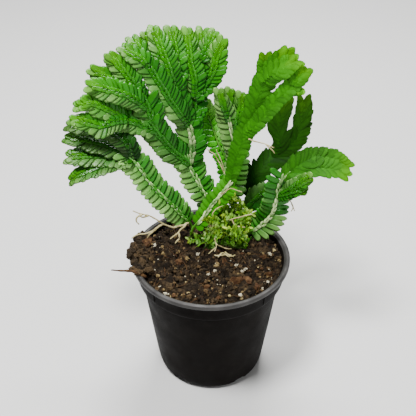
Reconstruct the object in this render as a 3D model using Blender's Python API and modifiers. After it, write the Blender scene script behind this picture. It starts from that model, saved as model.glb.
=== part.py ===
"""A pot of spikemoss: leafy flat fronds, crown shoots and aerial roots in peat soil, in a small
nursery pot. Lengths are metres, +Z is up and the origin is the centre of the pot's base."""

import math
import random

import bmesh
import bpy
import numpy as np
from mathutils import Matrix, Vector

MM = 0.001

# Pot
POT_HEIGHT = 52.0
RIM_RADIUS = 30.0
BASE_RADIUS = 20.6
COLLAR_DEPTH = 8.5
COLLAR_STEP = 1.1
LIP = 1.5
WALL = 0.9
FLOOR = 1.2
FOOT_BEND = 4.5
RIM_CLEAR = 3.0
POT_SIDES = 32
DRAIN_HOLES = 5
DRAIN_RADIUS = 2.6
DRAIN_RING = 13.0

# Soil
SOIL_GAP = 0.3
SOIL_LEVEL = 49.2
SOIL_MOUND = 2.4
SOIL_RINGS = 7
SOIL_SIDES = 32
HOLE_GAP = 0.45
FOOT_DEPTH = 5.0
CLUMP_RADIUS = 1.3

# Leafy stems
STEM_RADIUS = 0.75
STEM_SPACING = 2.6
SHOOT_LEAF = 2.3
SHOOT_PITCH = 3.0
ROOT_RADII = (0.55, 0.38)
BLADE = 0.62
RIB = 1.25
LEAF_PITCH = 4.2
LEAF_SWEEP = 0.34
ARCH = 0.05
LIFT_SCALE = 1.9

rng = random.Random(11)


def clear_scene():
    for obj in list(bpy.data.objects):
        bpy.data.objects.remove(obj, do_unlink=True)


def collection(name, hidden=False):
    made = bpy.data.collections.new(name)
    bpy.context.scene.collection.children.link(made)
    made.hide_render = hidden
    return made


def material(name, colour, roughness, metallic=0.0):
    mat = bpy.data.materials.new(name)
    mat.use_nodes = True
    shader = mat.node_tree.nodes["Principled BSDF"]
    shader.inputs["Base Color"].default_value = (*colour, 1.0)
    shader.inputs["Roughness"].default_value = roughness
    shader.inputs["Metallic"].default_value = metallic
    mat.diffuse_color = (*colour, 1.0)
    return mat


def mesh_object(name, bm, where):
    bmesh.ops.recalc_face_normals(bm, faces=bm.faces)
    mesh = bpy.data.meshes.new(name)
    bm.to_mesh(mesh)
    bm.free()
    obj = bpy.data.objects.new(name, mesh)
    where.objects.link(obj)
    return obj


def catmull(points, per_span=12):
    """A smooth curve through the points."""
    pts = [np.array(p, float) for p in points]
    pts = [2 * pts[0] - pts[1]] + pts + [2 * pts[-1] - pts[-2]]
    out = []
    for a, b, c, d in zip(pts, pts[1:], pts[2:], pts[3:]):
        for k in range(per_span):
            t = k / per_span
            out.append(0.5 * (2 * b + (c - a) * t + (2 * a - 5 * b + 4 * c - d) * t * t
                              + (3 * b - a - 3 * c + d) * t ** 3))
    out.append(pts[-2])
    return np.array(out)


def resample(curve, count):
    """Points at equal steps of length along a curve, with its length."""
    steps = np.linalg.norm(np.diff(curve, axis=0), axis=1)
    run = np.concatenate([[0], np.cumsum(steps)])
    at = np.linspace(0, run[-1], count)
    return np.stack([np.interp(at, run, curve[:, k]) for k in range(3)], -1), run[-1]


def unit(v):
    return v / np.linalg.norm(v)


def frames(pts, facing):
    """Tangent, upper-face normal and side vector at each point."""
    tan = np.gradient(pts, axis=0)
    tan = tan / np.linalg.norm(tan, axis=1)[:, None]
    normal = np.array([unit(np.array(facing) - np.dot(facing, t) * t) for t in tan])
    return tan, normal, np.cross(tan, normal)


def blade(points, facing, width, where, bare=0.0, start=1.0, lift=0.0, pitch=LEAF_PITCH):
    """One leafy ribbon as a closed thin solid, its outline cut into leaves down to the rib.

    bare is the length with no leaves at the foot, start the share of the leaf length that the
    first leaves have, and lift moves the ribbon along its normal once it has left the fork."""
    curve = catmull(points)
    length = resample(curve, 2)[1]
    count = max(3, round(length / pitch))
    pts, _ = resample(curve, count + 1)
    tan, normal, side = frames(pts, facing)
    step = length / count
    bm = bmesh.new()

    def pair(centre, up, half):
        return [bm.verts.new((centre + up * half) * MM), bm.verts.new((centre - up * half) * MM)]

    def leaf_length(along):
        if along < bare:
            return 0.0
        grown = start + (1 - start) * min(1.0, (along - bare) / 7.0)
        left = length - along
        tip = math.sqrt(max(0.0, 1 - max(0.0, 1 - left / 6.5) ** 2))
        return width * grown * max(0.36, tip)

    raised = [LIFT_SCALE * lift * min(1.0, i * step / 5.0) for i in range(count + 1)]
    rib = [pair(pts[i] + normal[i] * raised[i], normal[i], RIB / 2) for i in range(count)]
    rib.append(pair(pts[-1] + tan[-1] * 1.6 + normal[-1] * raised[-1], normal[-1], BLADE / 2))
    notch = {}
    for sign in (1, -1):
        for i in range(count + 1):
            spot = pts[i] + normal[i] * raised[i] + side[i] * sign * STEM_RADIUS
            notch[sign, i] = pair(spot, normal[i], BLADE / 2 + 0.12)

    def both(a, b, c):
        bm.faces.new((a[0], b[0], c[0]))
        bm.faces.new((c[1], b[1], a[1]))

    def wall(a, b):
        bm.faces.new((a[0], a[1], b[1]))
        bm.faces.new((a[0], b[1], b[0]))

    for sign in (1, -1):
        for i in range(count):
            a, b = notch[sign, i], notch[sign, i + 1]
            both(rib[i], rib[i + 1], b)
            both(rib[i], b, a)
            reach = leaf_length((i + 0.5) * step) * rng.uniform(0.93, 1.05)
            if reach < 1.4:
                wall(a, b)
                continue
            edge = []
            for along, out in ((0.12, 0.84), (0.72, 1.0)):
                v = out * reach
                spot = pts[i] + (pts[i + 1] - pts[i]) * along + tan[i] * LEAF_SWEEP * v
                spot = spot + side[i] * sign * v + normal[i] * (raised[i] - ARCH * v * out)
                edge.append(pair(spot, normal[i], BLADE / 2))
            both(a, b, edge[1])
            both(a, edge[1], edge[0])
            wall(a, edge[0])
            wall(edge[0], edge[1])
            wall(edge[1], b)
    for i in (0, count):
        wall(notch[1, i], rib[i])
        wall(rib[i], notch[-1, i])
    return mesh_object("blade", bm, where)


def tube(points, radii, where, resolution=1, spacing=3.0):
    """A round tapering stem or root through the points, closed at both ends."""
    curve = catmull(points)
    length = resample(curve, 2)[1]
    count = max(2, round(length / spacing))
    pts, _ = resample(curve, count + 1)
    data = bpy.data.curves.new("tube", "CURVE")
    data.dimensions = "3D"
    data.bevel_depth = MM
    data.bevel_resolution = resolution
    data.use_fill_caps = True
    line = data.splines.new("POLY")
    line.points.add(count)
    for i, (point, spot) in enumerate(zip(line.points, pts)):
        point.co = (*(spot * MM), 1.0)
        point.radius = radii[0] + (radii[1] - radii[0]) * i / count
    obj = bpy.data.objects.new("tube", data)
    where.objects.link(obj)
    graph = bpy.context.evaluated_depsgraph_get()
    mesh = bpy.data.meshes.new_from_object(obj.evaluated_get(graph))
    bpy.data.objects.remove(obj, do_unlink=True)
    bm = bmesh.new()
    bm.from_mesh(mesh)
    bmesh.ops.remove_doubles(bm, verts=bm.verts, dist=0.00001)
    return mesh_object("tube", bm, where)


def solid_only(mesh):
    """Fills sealed hollows and drops loose scraps, leaving the one outer skin."""
    bm = bmesh.new()
    bm.from_mesh(mesh)
    bmesh.ops.triangulate(bm, faces=bm.faces)
    left = set(bm.verts)
    shells = []
    while left:
        shell = {left.pop()}
        front = list(shell)
        while front:
            for edge in front.pop().link_edges:
                for vert in edge.verts:
                    if vert in left:
                        left.discard(vert)
                        shell.add(vert)
                        front.append(vert)
        shells.append(shell)
    largest = max(shells, key=len)
    bmesh.ops.delete(bm, geom=[v for s in shells if s is not largest for v in s],
                     context="VERTS")
    bm.to_mesh(mesh)
    bm.free()
    return mesh


def fused(name, pieces, where):
    """Joins closed pieces into one solid and removes them."""
    if len(pieces) == 1:
        result = pieces[0]
        result.name = name
        result.data.name = name
    else:
        rest = bpy.data.collections.new(name + "_pieces")
        bpy.context.scene.collection.children.link(rest)
        base = pieces[0]
        for obj in pieces[1:]:
            for home in list(obj.users_collection):
                home.objects.unlink(obj)
            rest.objects.link(obj)
        union = base.modifiers.new("join", "BOOLEAN")
        union.operation = "UNION"
        union.operand_type = "COLLECTION"
        union.collection = rest
        union.solver = "EXACT"
        graph = bpy.context.evaluated_depsgraph_get()
        mesh = solid_only(bpy.data.meshes.new_from_object(base.evaluated_get(graph)))
        result = bpy.data.objects.new(name, mesh)
        for obj in pieces:
            bpy.data.objects.remove(obj, do_unlink=True)
        bpy.data.collections.remove(rest)
    for home in list(result.users_collection):
        home.objects.unlink(result)
    where.objects.link(result)
    return result


def cut(obj, cutters, where):
    """Cuts the cutters out of obj for good."""
    for tool in cutters:
        diff = obj.modifiers.new("cut", "BOOLEAN")
        diff.operation = "DIFFERENCE"
        diff.object = tool
        diff.solver = "EXACT"
    graph = bpy.context.evaluated_depsgraph_get()
    mesh = bpy.data.meshes.new_from_object(obj.evaluated_get(graph))
    name = obj.name
    bpy.data.objects.remove(obj, do_unlink=True)
    result = bpy.data.objects.new(name, mesh)
    where.objects.link(result)
    for tool in cutters:
        bpy.data.objects.remove(tool, do_unlink=True)
    return result


def cylinder(centre, radius, low, high, sides, where):
    """An upright cylinder between two heights, in millimetres."""
    bm = bmesh.new()
    middle = Matrix.Translation(Vector((centre[0], centre[1], (low + high) / 2)) * MM)
    bmesh.ops.create_cone(bm, cap_ends=True, segments=sides, radius1=radius * MM,
                          radius2=radius * MM, depth=(high - low) * MM, matrix=middle)
    return mesh_object("cutter", bm, where)


def turned(name, profile, sides, where):
    """A solid of revolution from (radius, height) points, closed on the axis at both ends."""
    bm = bmesh.new()
    verts = [bm.verts.new((r * MM, 0, z * MM)) for r, z in profile]
    for a, b in zip(verts, verts[1:]):
        bm.edges.new((a, b))
    mesh = bpy.data.meshes.new(name)
    bm.to_mesh(mesh)
    bm.free()
    obj = bpy.data.objects.new(name, mesh)
    where.objects.link(obj)
    turn = obj.modifiers.new("turn", "SCREW")
    turn.axis = "Z"
    turn.steps = sides
    turn.render_steps = sides
    turn.angle = 2 * math.pi
    turn.use_merge_vertices = True
    turn.merge_threshold = 0.00001
    turn.use_normal_calculate = True
    graph = bpy.context.evaluated_depsgraph_get()
    done = bpy.data.meshes.new_from_object(obj.evaluated_get(graph))
    bpy.data.objects.remove(obj, do_unlink=True)
    result = bpy.data.objects.new(name, done)
    where.objects.link(result)
    return result


def side_radius(z):
    """Outer radius of the pot's plain taper at height z, below the collar."""
    top = RIM_RADIUS - LIP - COLLAR_STEP - 1.0
    return BASE_RADIUS + (top - BASE_RADIUS) * z / (POT_HEIGHT - COLLAR_DEPTH)


def inner_radius(z):
    """Inner radius of the pot at height z."""
    knee = POT_HEIGHT - COLLAR_DEPTH
    if z < knee:
        return side_radius(z) - WALL
    return side_radius(knee) - WALL + COLLAR_STEP * min(1.0, (z - knee) / 2.0) + 0.1 * (z - knee)


def make_pot(where):
    knee = POT_HEIGHT - COLLAR_DEPTH
    rim = RIM_RADIUS
    neck = inner_radius(POT_HEIGHT - 1.4) + WALL
    outer = [
        (rim - 0.9, POT_HEIGHT), (rim - 0.2, POT_HEIGHT - 0.4), (rim, POT_HEIGHT - 1.0),
        (rim - 0.2, POT_HEIGHT - 1.7), (neck + 0.15, POT_HEIGHT - 2.1),
        (inner_radius(knee + 2.0) + WALL + 0.35, knee + 0.9),
        (inner_radius(knee + 2.0) + WALL - 0.1, knee), (side_radius(knee - 0.6), knee - 0.6),
        (side_radius(20.0), 20.0), (side_radius(FOOT_BEND), FOOT_BEND), (BASE_RADIUS - 0.1, 1.8),
        (BASE_RADIUS - 1.2, 0.4), (BASE_RADIUS - 2.4, 0.0), (0, 0.0),
    ]
    inner = [
        (0, FLOOR), (BASE_RADIUS - 3.2, FLOOR), (BASE_RADIUS - 1.3, 2.4),
        (inner_radius(FOOT_BEND), FOOT_BEND), (inner_radius(20.0), 20.0), (inner_radius(knee), knee),
        (inner_radius(knee + 2), knee + 2), (inner_radius(POT_HEIGHT - 1.4), POT_HEIGHT - 1.4),
        (rim - 1.9, POT_HEIGHT - 0.5), (rim - 1.5, POT_HEIGHT),
    ]
    body = turned("pot", outer + inner + [outer[0]], POT_SIDES, where)
    tools = []
    for k in range(DRAIN_HOLES):
        angle = 2 * math.pi * (k + 0.25) / DRAIN_HOLES
        spot = (DRAIN_RING * math.cos(angle), DRAIN_RING * math.sin(angle))
        tools.append(cylinder(spot, DRAIN_RADIUS, -2, 4, 10, where))
    return cut(body, tools, where)


def soil_height(x, y):
    """Height of the soil's surface: a low uneven mound, higher at the back and the left."""
    r = math.hypot(x, y)
    mound = SOIL_MOUND * math.exp(-((x + 1) ** 2 + (y - 9) ** 2) / 320)
    left = 4.4 * math.exp(-((x + 24) ** 2 + (y - 1) ** 2) / 65)
    bumps = 0.35 * math.sin(0.61 * x + 1.2) * math.cos(0.55 * y) + 0.3 * math.sin(0.9 * y + 0.4 * x)
    edge = -1.3 * max(0.0, (r - 19) / 9) ** 2
    return SOIL_LEVEL + mound + left + bumps * (1 if r < 26.5 else 0.4) + edge


def make_soil(feet, where):
    """The soil fills the pot; the stems stand in plain holes in it."""
    bm = bmesh.new()
    knee = POT_HEIGHT - COLLAR_DEPTH
    profile = [(inner_radius(z) - SOIL_GAP, z) for z in (knee + 2, knee, 20.0, FOOT_BEND)]
    profile.append((BASE_RADIUS - 3.6, FLOOR + SOIL_GAP))
    surface = []
    outer = inner_radius(POT_HEIGHT - RIM_CLEAR) - SOIL_GAP
    for j in range(1, SOIL_RINGS + 1):
        radius = outer * (j / SOIL_RINGS) ** 0.9
        ring = []
        for k in range(SOIL_SIDES):
            angle = 2 * math.pi * k / SOIL_SIDES
            x, y = radius * math.cos(angle), radius * math.sin(angle)
            z = soil_height(x, y) + (rng.uniform(-0.3, 0.3) if j < SOIL_RINGS else 0.0)
            ring.append(bm.verts.new((x * MM, y * MM, z * MM)))
        surface.append(ring)
    centre = bm.verts.new((0, 0, soil_height(0, 0) * MM))
    sides = []
    for r, z in profile:
        sides.append([bm.verts.new((r * math.cos(2 * math.pi * k / SOIL_SIDES) * MM,
                                    r * math.sin(2 * math.pi * k / SOIL_SIDES) * MM, z * MM))
                      for k in range(SOIL_SIDES)])
    bottom = bm.verts.new((0, 0, (FLOOR + SOIL_GAP) * MM))
    for k in range(SOIL_SIDES):
        m = (k + 1) % SOIL_SIDES
        bm.faces.new((centre, surface[0][k], surface[0][m]))
        for a, b in zip(surface + sides, surface[1:] + sides):
            bm.faces.new((a[k], b[k], b[m]))
            bm.faces.new((a[k], b[m], a[m]))
        bm.faces.new((sides[-1][k], bottom, sides[-1][m]))
    body = mesh_object("soil", bm, where)
    tools = []
    for x, y, radius in feet:
        low = soil_height(x, y) - FOOT_DEPTH - 0.6
        tools.append(cylinder((x, y), radius + HOLE_GAP, low, POT_HEIGHT + 6, 8, where))
    return cut(body, tools, where)


# Centre lines of the leafy stems: each frond is a foot in the soil and its branches.
# A branch is (points, upper face, leaf length, options).
UP_FRONT = (0.0, -0.75, 0.66)
UNDER = (0.0, 0.85, -0.5)

FRONDS = {
    "frond_left": {
        "foot": [(-6.5, 15.5), (-7.5, 15.2, 54.0), (-10.5, 14.0, 59.0)],
        "branches": [
            ([(-7.5, 15.2, 54), (-10.5, 14, 59), (-15, 13, 65.5), (-19, 12.5, 70.5),
              (-22.5, 12.5, 75.5), (-25.5, 13, 80.5), (-29.5, 14, 86)],
             (0.45, -0.6, 0.5), 5.4, {"bare": 2.5, "start": 0.5}),
            ([(-28.5, 13.8, 85), (-35, 15, 88.5), (-42.5, 16, 91), (-53, 17, 92)],
             (0.0, -0.5, 0.86), 4.4, {"start": 0.5, "lift": 0.6}),
            ([(-28.3, 13.9, 84.8), (-31, 15.5, 90.5), (-36.5, 16.8, 94), (-44, 18, 95.5),
              (-51, 19, 95.5)],
             (0.0, -0.5, 0.86), 4.0, {"start": 0.4, "lift": 1.0}),
            ([(-28.5, 13.8, 85), (-36, 13, 87), (-43.5, 12.5, 87.5), (-53, 12, 87.5)],
             (0.0, -0.55, 0.84), 4.4, {"start": 0.4}),
            ([(-28.5, 13.8, 85), (-35.5, 11, 86), (-41, 9, 85.5), (-47, 8, 83.5), (-52, 7, 80.5)],
             (0.0, -0.45, 0.9), 3.8, {"start": 0.4, "lift": -0.6}),
        ],
    },
    "frond_centre": {
        "foot": [(-3.5, 18.8), (-3.2, 18.4, 53.5), (-2.0, 18.0, 57.5)],
        "branches": [
            ([(-3.2, 18.4, 53.5), (-2, 18, 57.5), (-0.5, 18.5, 62.5), (-2.5, 19, 67),
              (-5, 20, 71.5), (-7, 21, 75.5), (-8, 21.5, 79)],
             UP_FRONT, 5.2, {"bare": 3.0, "start": 0.5}),
            ([(-7.5, 21.3, 78), (-11, 21, 81.5), (-14.5, 20.5, 85.5), (-18, 20, 90.5),
              (-20.5, 20, 94)],
             (-0.2, -0.75, 0.66), 5.0, {"start": 0.5}),
            ([(-20, 20, 93), (-26, 18.5, 97.5), (-31, 17.5, 100), (-36, 16, 104.5),
              (-41, 15, 107.5), (-46.5, 13, 108)],
             UP_FRONT, 4.3, {"start": 0.5, "lift": -0.5}),
            ([(-30, 17.7, 99.5), (-35, 15.5, 99.5), (-39.5, 14, 99), (-44, 13, 101),
              (-49.5, 12, 102.5)],
             UP_FRONT, 4.0, {"start": 0.4, "lift": 0.6}),
            ([(-20, 20, 93), (-21.5, 21, 98.5), (-23, 22, 102.5)],
             UP_FRONT, 4.4, {"start": 0.6}),
            ([(-22.8, 21.9, 101.8), (-29, 21, 107), (-34, 20, 109.5), (-39.5, 19, 111.5),
              (-44, 17, 113)],
             UP_FRONT, 4.2, {"start": 0.5, "lift": 0.5}),
            ([(-22.8, 21.9, 101.8), (-25.5, 23, 105.5), (-29, 23.5, 108.5), (-33.5, 24, 111.5),
              (-38, 24, 114), (-42, 23.5, 116.5)],
             UP_FRONT, 4.2, {"start": 0.5, "lift": -0.5}),
            ([(-25.3, 22.9, 105), (-27.5, 24.5, 109.5), (-30, 26, 113), (-33, 27, 116.5),
              (-35.5, 27.5, 119)],
             UP_FRONT, 4.1, {"start": 0.4}),
            ([(-7.8, 21.4, 78.2), (-7, 22.5, 83), (-7, 23.5, 87.5), (-8, 25.5, 93.5)],
             UP_FRONT, 5.0, {"start": 0.5}),
            ([(-8, 25.2, 92.8), (-11.5, 25.5, 97.5), (-14.5, 26, 102), (-17.5, 27, 107),
              (-21, 29, 112.5)],
             UP_FRONT, 4.5, {"start": 0.4, "lift": 0.8}),
            ([(-20.6, 28.8, 112), (-24, 30, 116), (-28, 31, 118.5), (-31, 32, 120)],
             UP_FRONT, 4.0, {"start": 0.4, "lift": 1.0}),
            ([(-20.6, 28.8, 112), (-23, 31, 116.5), (-25.5, 33, 120), (-28, 35, 122.5)],
             UP_FRONT, 4.0, {"start": 0.4}),
            ([(-8, 25.2, 92.8), (-10, 26, 98.5), (-12, 27, 103.5), (-13, 28, 107)],
             UP_FRONT, 4.4, {"start": 0.4}),
            ([(-12.9, 27.8, 106.4), (-15, 30, 113.5), (-17.5, 33, 119), (-20.5, 37, 125)],
             UP_FRONT, 4.2, {"start": 0.4, "lift": 0.5}),
            ([(-12.9, 27.8, 106.4), (-12.5, 30.5, 113), (-13, 34, 119.5), (-14.5, 38, 125.5)],
             UP_FRONT, 4.2, {"start": 0.4, "lift": -0.5}),
            ([(-14.8, 29.8, 113), (-18.5, 32, 117.5), (-21, 35, 120.5), (-23.5, 37, 124)],
             UP_FRONT, 3.6, {"start": 0.4, "lift": 0.4}),
            ([(-8, 25.2, 92.8), (-6.5, 26.5, 98), (-6, 28.5, 103.5)],
             UP_FRONT, 4.6, {"start": 0.4, "lift": -0.8}),
            ([(-6, 28.2, 102.8), (-6, 31, 109), (-7.5, 34, 115), (-8.5, 39, 123)],
             UP_FRONT, 4.2, {"start": 0.4, "lift": 0.5}),
            ([(-6, 28.2, 102.8), (-4.5, 30.5, 109), (-3.5, 33.5, 116), (-3, 38.5, 124.5)],
             UP_FRONT, 4.2, {"start": 0.4, "lift": -0.4}),
            ([(-3.6, 33.2, 115.5), (-1.5, 35.5, 119.5), (1, 38, 124)],
             UP_FRONT, 3.6, {"start": 0.4}),
            ([(-6, 28.2, 102.8), (-2.5, 29, 108), (0.5, 30, 113.5), (2, 31.5, 118), (3.5, 33, 122)],
             UP_FRONT, 4.3, {"start": 0.4, "lift": -1.3}),
        ],
    },
    "frond_front": {
        "foot": [(-8.0, 11.0), (-7.0, 11.6, 55.0), (-3.0, 12.0, 60.0)],
        "branches": [
            ([(-7, 11.6, 55), (-3, 12, 60), (0.5, 12, 66), (4, 11.5, 71.5), (7, 11, 76.5),
              (8, 10.5, 82), (9, 10, 87.5), (10.5, 9.5, 93), (11.5, 9, 98)],
             (0.1, 0.8, -0.55), 3.7, {"bare": 5.0, "start": 0.3}),
            ([(11.4, 9, 97.4), (13.5, 8.5, 103), (15, 8, 109), (16.5, 7.5, 115), (18, 7, 120.5)],
             UNDER, 4.2, {"start": 0.4, "lift": 0.4}),
            ([(17.8, 7, 119.8), (17.8, 7, 123.8), (18, 7, 127)],
             UNDER, 4.0, {"start": 0.4, "lift": 0.8}),
            ([(17.8, 7, 119.8), (21, 6, 125.5), (24, 5, 130.8)],
             UNDER, 4.0, {"start": 0.4}),
            ([(17.8, 7, 119.8), (21.5, 5, 124.5), (27, 3, 129.3)],
             UNDER, 4.0, {"start": 0.4, "lift": -0.8}),
            ([(11.4, 9, 97.4), (15, 8, 102.5), (18.5, 6.5, 108), (22, 5, 114), (25, 4, 118)],
             UNDER, 3.6, {"start": 0.4, "lift": -0.6}),
            ([(24.6, 4.1, 117.5), (27.8, 3, 121.5), (30.8, 2, 125)],
             UNDER, 3.6, {"start": 0.4, "lift": 0.6}),
            ([(24.6, 4.1, 117.5), (27.5, 3, 119), (30, 2, 120)],
             UNDER, 3.4, {"start": 0.4}),
        ],
    },
    "frond_middle": {
        "foot": [(3.5, 18.5), (4.0, 18.8, 54.0), (6.0, 20.0, 60.0)],
        "branches": [
            ([(4, 18.8, 54), (6, 20, 60), (8.5, 20, 67.5), (9.5, 20.5, 75.5), (10, 21.5, 82.5),
              (8.5, 23, 89), (7, 24.5, 95)],
             (-0.3, -0.75, 0.6), 4.6, {"bare": 8.0, "start": 0.5}),
            ([(7.1, 24.4, 94.4), (5.5, 26, 99), (3.5, 28, 105)],
             (-0.2, -0.75, 0.6), 3.6, {"start": 0.5, "lift": 0.6}),
            ([(7.1, 24.4, 94.4), (7, 26, 99), (7, 28, 105)],
             (-0.2, -0.75, 0.6), 3.6, {"start": 0.5, "lift": -0.4}),
            ([(8.7, 22.8, 88.4), (10, 24, 95.5), (11, 25, 100), (11, 26, 104)],
             (-0.2, -0.75, 0.6), 3.8, {"start": 0.4}),
        ],
    },
    "frond_back": {
        "foot": [(7.5, 22.0), (8.0, 22.6, 54.0), (8.8, 25.5, 60.5)],
        "branches": [
            ([(8, 22.6, 54), (8.8, 25.5, 60.5), (7.5, 27, 70.5), (6, 27.5, 77), (3.5, 28.5, 82),
              (1.5, 30.5, 87), (-0.5, 33, 91.5), (-1.5, 34.5, 96)],
             (0.0, 0.8, -0.55), 4.2, {"bare": 9.0, "start": 0.6}),
            ([(1.6, 30.3, 86.6), (3, 32.5, 91), (4, 35, 96)],
             (0.0, 0.8, -0.55), 3.6, {"start": 0.4, "lift": 0.5}),
        ],
    },
    "frond_back_right": {
        "foot": [(12.5, 19.0), (13.0, 20.0, 54.5), (14.5, 23.5, 62.0)],
        "branches": [
            ([(13, 20, 54.5), (14.5, 23.5, 62), (17, 25.5, 69), (21.5, 27, 74.5), (25.5, 28, 77.5)],
             (-0.3, -0.75, 0.6), 4.6, {"bare": 9.0, "start": 0.6}),
            ([(25, 27.9, 77.2), (26.5, 29, 82.5), (26, 30, 88.5), (27.5, 32, 97.5)],
             UP_FRONT, 4.3, {"start": 0.4, "lift": 0.5}),
            ([(25, 27.9, 77.2), (29, 28, 81), (32.5, 28, 86), (34.5, 29, 93.5), (35.5, 30, 101)],
             UP_FRONT, 4.3, {"start": 0.4, "lift": -0.3}),
        ],
    },
    "frond_right": {
        "foot": [(13.5, 11.5), (14.2, 11.2, 53.2), (17.5, 10.5, 55.8)],
        "branches": [
            ([(14.2, 11.2, 53.2), (17.5, 10.5, 55.8), (21, 9, 60.5), (23.5, 8, 66.5),
              (24.5, 7.5, 73), (25, 7.5, 77.5), (26.5, 7.5, 81.5), (29, 7.5, 84)],
             (0.2, -0.75, 0.62), 4.8, {"bare": 2.0, "start": 0.5}),
            ([(28.4, 7.5, 83.6), (32, 8, 86.8), (36.5, 8.5, 88.8), (43, 8.5, 88.6), (48.5, 8, 86.6)],
             (0.1, -0.6, 0.78), 4.0, {"start": 0.5, "lift": 0.4}),
            ([(28.4, 7.5, 83.6), (33, 6, 84.8), (38, 5, 86.4), (44, 4.5, 86), (48.5, 3, 84.6)],
             (0.1, -0.6, 0.78), 3.8, {"start": 0.4, "lift": -0.4}),
            ([(24.8, 7.5, 73.5), (27.5, 5, 76.5), (30.5, 3, 80.5), (35, 1, 85.5)],
             (0.1, -0.7, 0.68), 3.0, {"start": 0.6}),
            ([(27.2, 5.2, 76.2), (30.5, 3, 78.5), (34, 2, 79.5)],
             (0.1, -0.7, 0.68), 2.6, {"start": 0.6}),
        ],
    },
    "frond_low": {
        "foot": [(11.5, 15.2), (12.0, 15.8, 54.0), (14.0, 18.0, 59.5)],
        "branches": [
            ([(12, 15.8, 54), (14, 18, 59.5), (17.5, 19.5, 63.5), (21.5, 20.5, 66.5), (26, 21, 69)],
             (0.0, -0.7, 0.7), 3.4, {"bare": 5.0, "start": 0.6}),
        ],
    },
}

# Short young shoots at the crown: foot, then the tip of each shoot and its bend.
TUFTS = {
    "crown_shoots_bright": {
        "foot": (5.5, 9.5),
        "tips": [(2.5, 8.0, 61.0), (5.0, 6.5, 58.5), (8.5, 7.0, 62.0), (6.5, 11.0, 66.5),
                 (11.0, 10.0, 64.0), (10.5, 13.0, 69.5), (9.0, 5.0, 56.5),
                 (13.0, 6.5, 60.5), (3.0, 4.0, 58.5)],
    },
    "crown_shoots_dark": {
        "foot": (-2.5, 6.5),
        "tips": [(-7.5, 6.0, 57.5), (-4.5, 8.5, 60.0), (-1.0, 4.0, 57.0), (-5.5, 3.5, 55.5),
                 (1.0, 7.0, 58.5)],
    },
}

# Aerial roots: each list holds lines that leave a common start.
ROOTS = {
    "roots_left": [
        [(-10.2, 11.7, 57.0), (-14, 9.2, 57.6), (-18, 8, 60), (-20.5, 7, 63), (-23.5, 6.5, 65),
         (-26.5, 6, 66.5), (-29, 5.5, 68)],
        [(-25.5, 6.1, 66), (-27.5, 5, 65.5), (-28, 4.5, 64), (-27, 4.5, 62.5)],
        [(-18, 8, 60), (-21.5, 6.5, 58.5), (-24.5, 6, 57), (-27.5, 5.5, 57), (-30, 5, 55.5)],
        [(-20.5, 6.9, 59), (-22.5, 6, 57.5), (-24, 5.5, 55.2)],
        [(-11.0, 11.1, 57.0), (-12.5, 8.5, 55.6), (-15.5, 6.5, 54)],
    ],
    "roots_crown": [
        [(0.5, 12.4, 57.5), (1.5, 7.2, 54.5), (2.2, 3.8, 53.4), (1.5, 1.0, 52.6)],
        [(2.1, 4.2, 53.6), (5.2, 2.2, 53.0), (8.0, 2.8, 52.8)],
    ],
    "roots_fork": [
        [(15, 6.2, 97.6), (17, 5.6, 97.5), (19.5, 5, 97), (22, 5, 95.5)],
        [(19.3, 5, 97), (21, 4.5, 95.5), (22.5, 4.5, 93.5)],
    ],
    "roots_bend": [
        [(4.4, 9, 73.4), (6.5, 8.4, 75.5), (8.5, 8, 76), (11.5, 8.2, 74.5)],
    ],
    "roots_middle": [
        [(5.6, 13.4, 79), (4.5, 14, 80.5), (3, 15, 83.5), (1, 15, 87), (-1, 15, 89)],
        [(4.6, 13.9, 80.3), (4, 13.5, 85), (2, 13, 90)],
    ],
    "roots_right": [
        [(27.6, 6.6, 73.6), (29.2, 5.2, 72.6), (30, 4.5, 71.5), (31, 4, 69)],
    ],
}


def frond(name, plan, where):
    foot, low, start = plan["foot"]
    x, y = foot
    base = soil_height(x, y) - FOOT_DEPTH
    pieces = [tube([(x, y, base), (x, y, base + 3.2), low, start], (STEM_RADIUS, STEM_RADIUS),
                   where, spacing=STEM_SPACING)]
    for points, facing, width, options in plan["branches"]:
        pieces.append(blade(points, facing, width, where, **options))
    return fused(name, pieces, where)


def tuft(name, plan, where):
    x, y = plan["foot"]
    base = soil_height(x, y) - FOOT_DEPTH
    top = soil_height(x, y) + 1.0
    pieces = [tube([(x, y, base), (x, y, top)], (CLUMP_RADIUS, CLUMP_RADIUS), where, spacing=9)]
    for tip in plan["tips"]:
        bend = (x + (tip[0] - x) * 0.45, y + (tip[1] - y) * 0.45, top + (tip[2] - top) * 0.6)
        facing = (rng.uniform(-0.4, 0.4), -0.8, 0.6)
        pieces.append(blade([(x, y, top - 0.8), bend, tip], facing, SHOOT_LEAF, where,
                            bare=3.2, start=0.8, pitch=SHOOT_PITCH))
    return fused(name, pieces, where)


def roots(name, lines, where):
    pieces = [tube(line, ROOT_RADII, where, spacing=STEM_SPACING) for line in lines]
    return fused(name, pieces, where)


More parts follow.
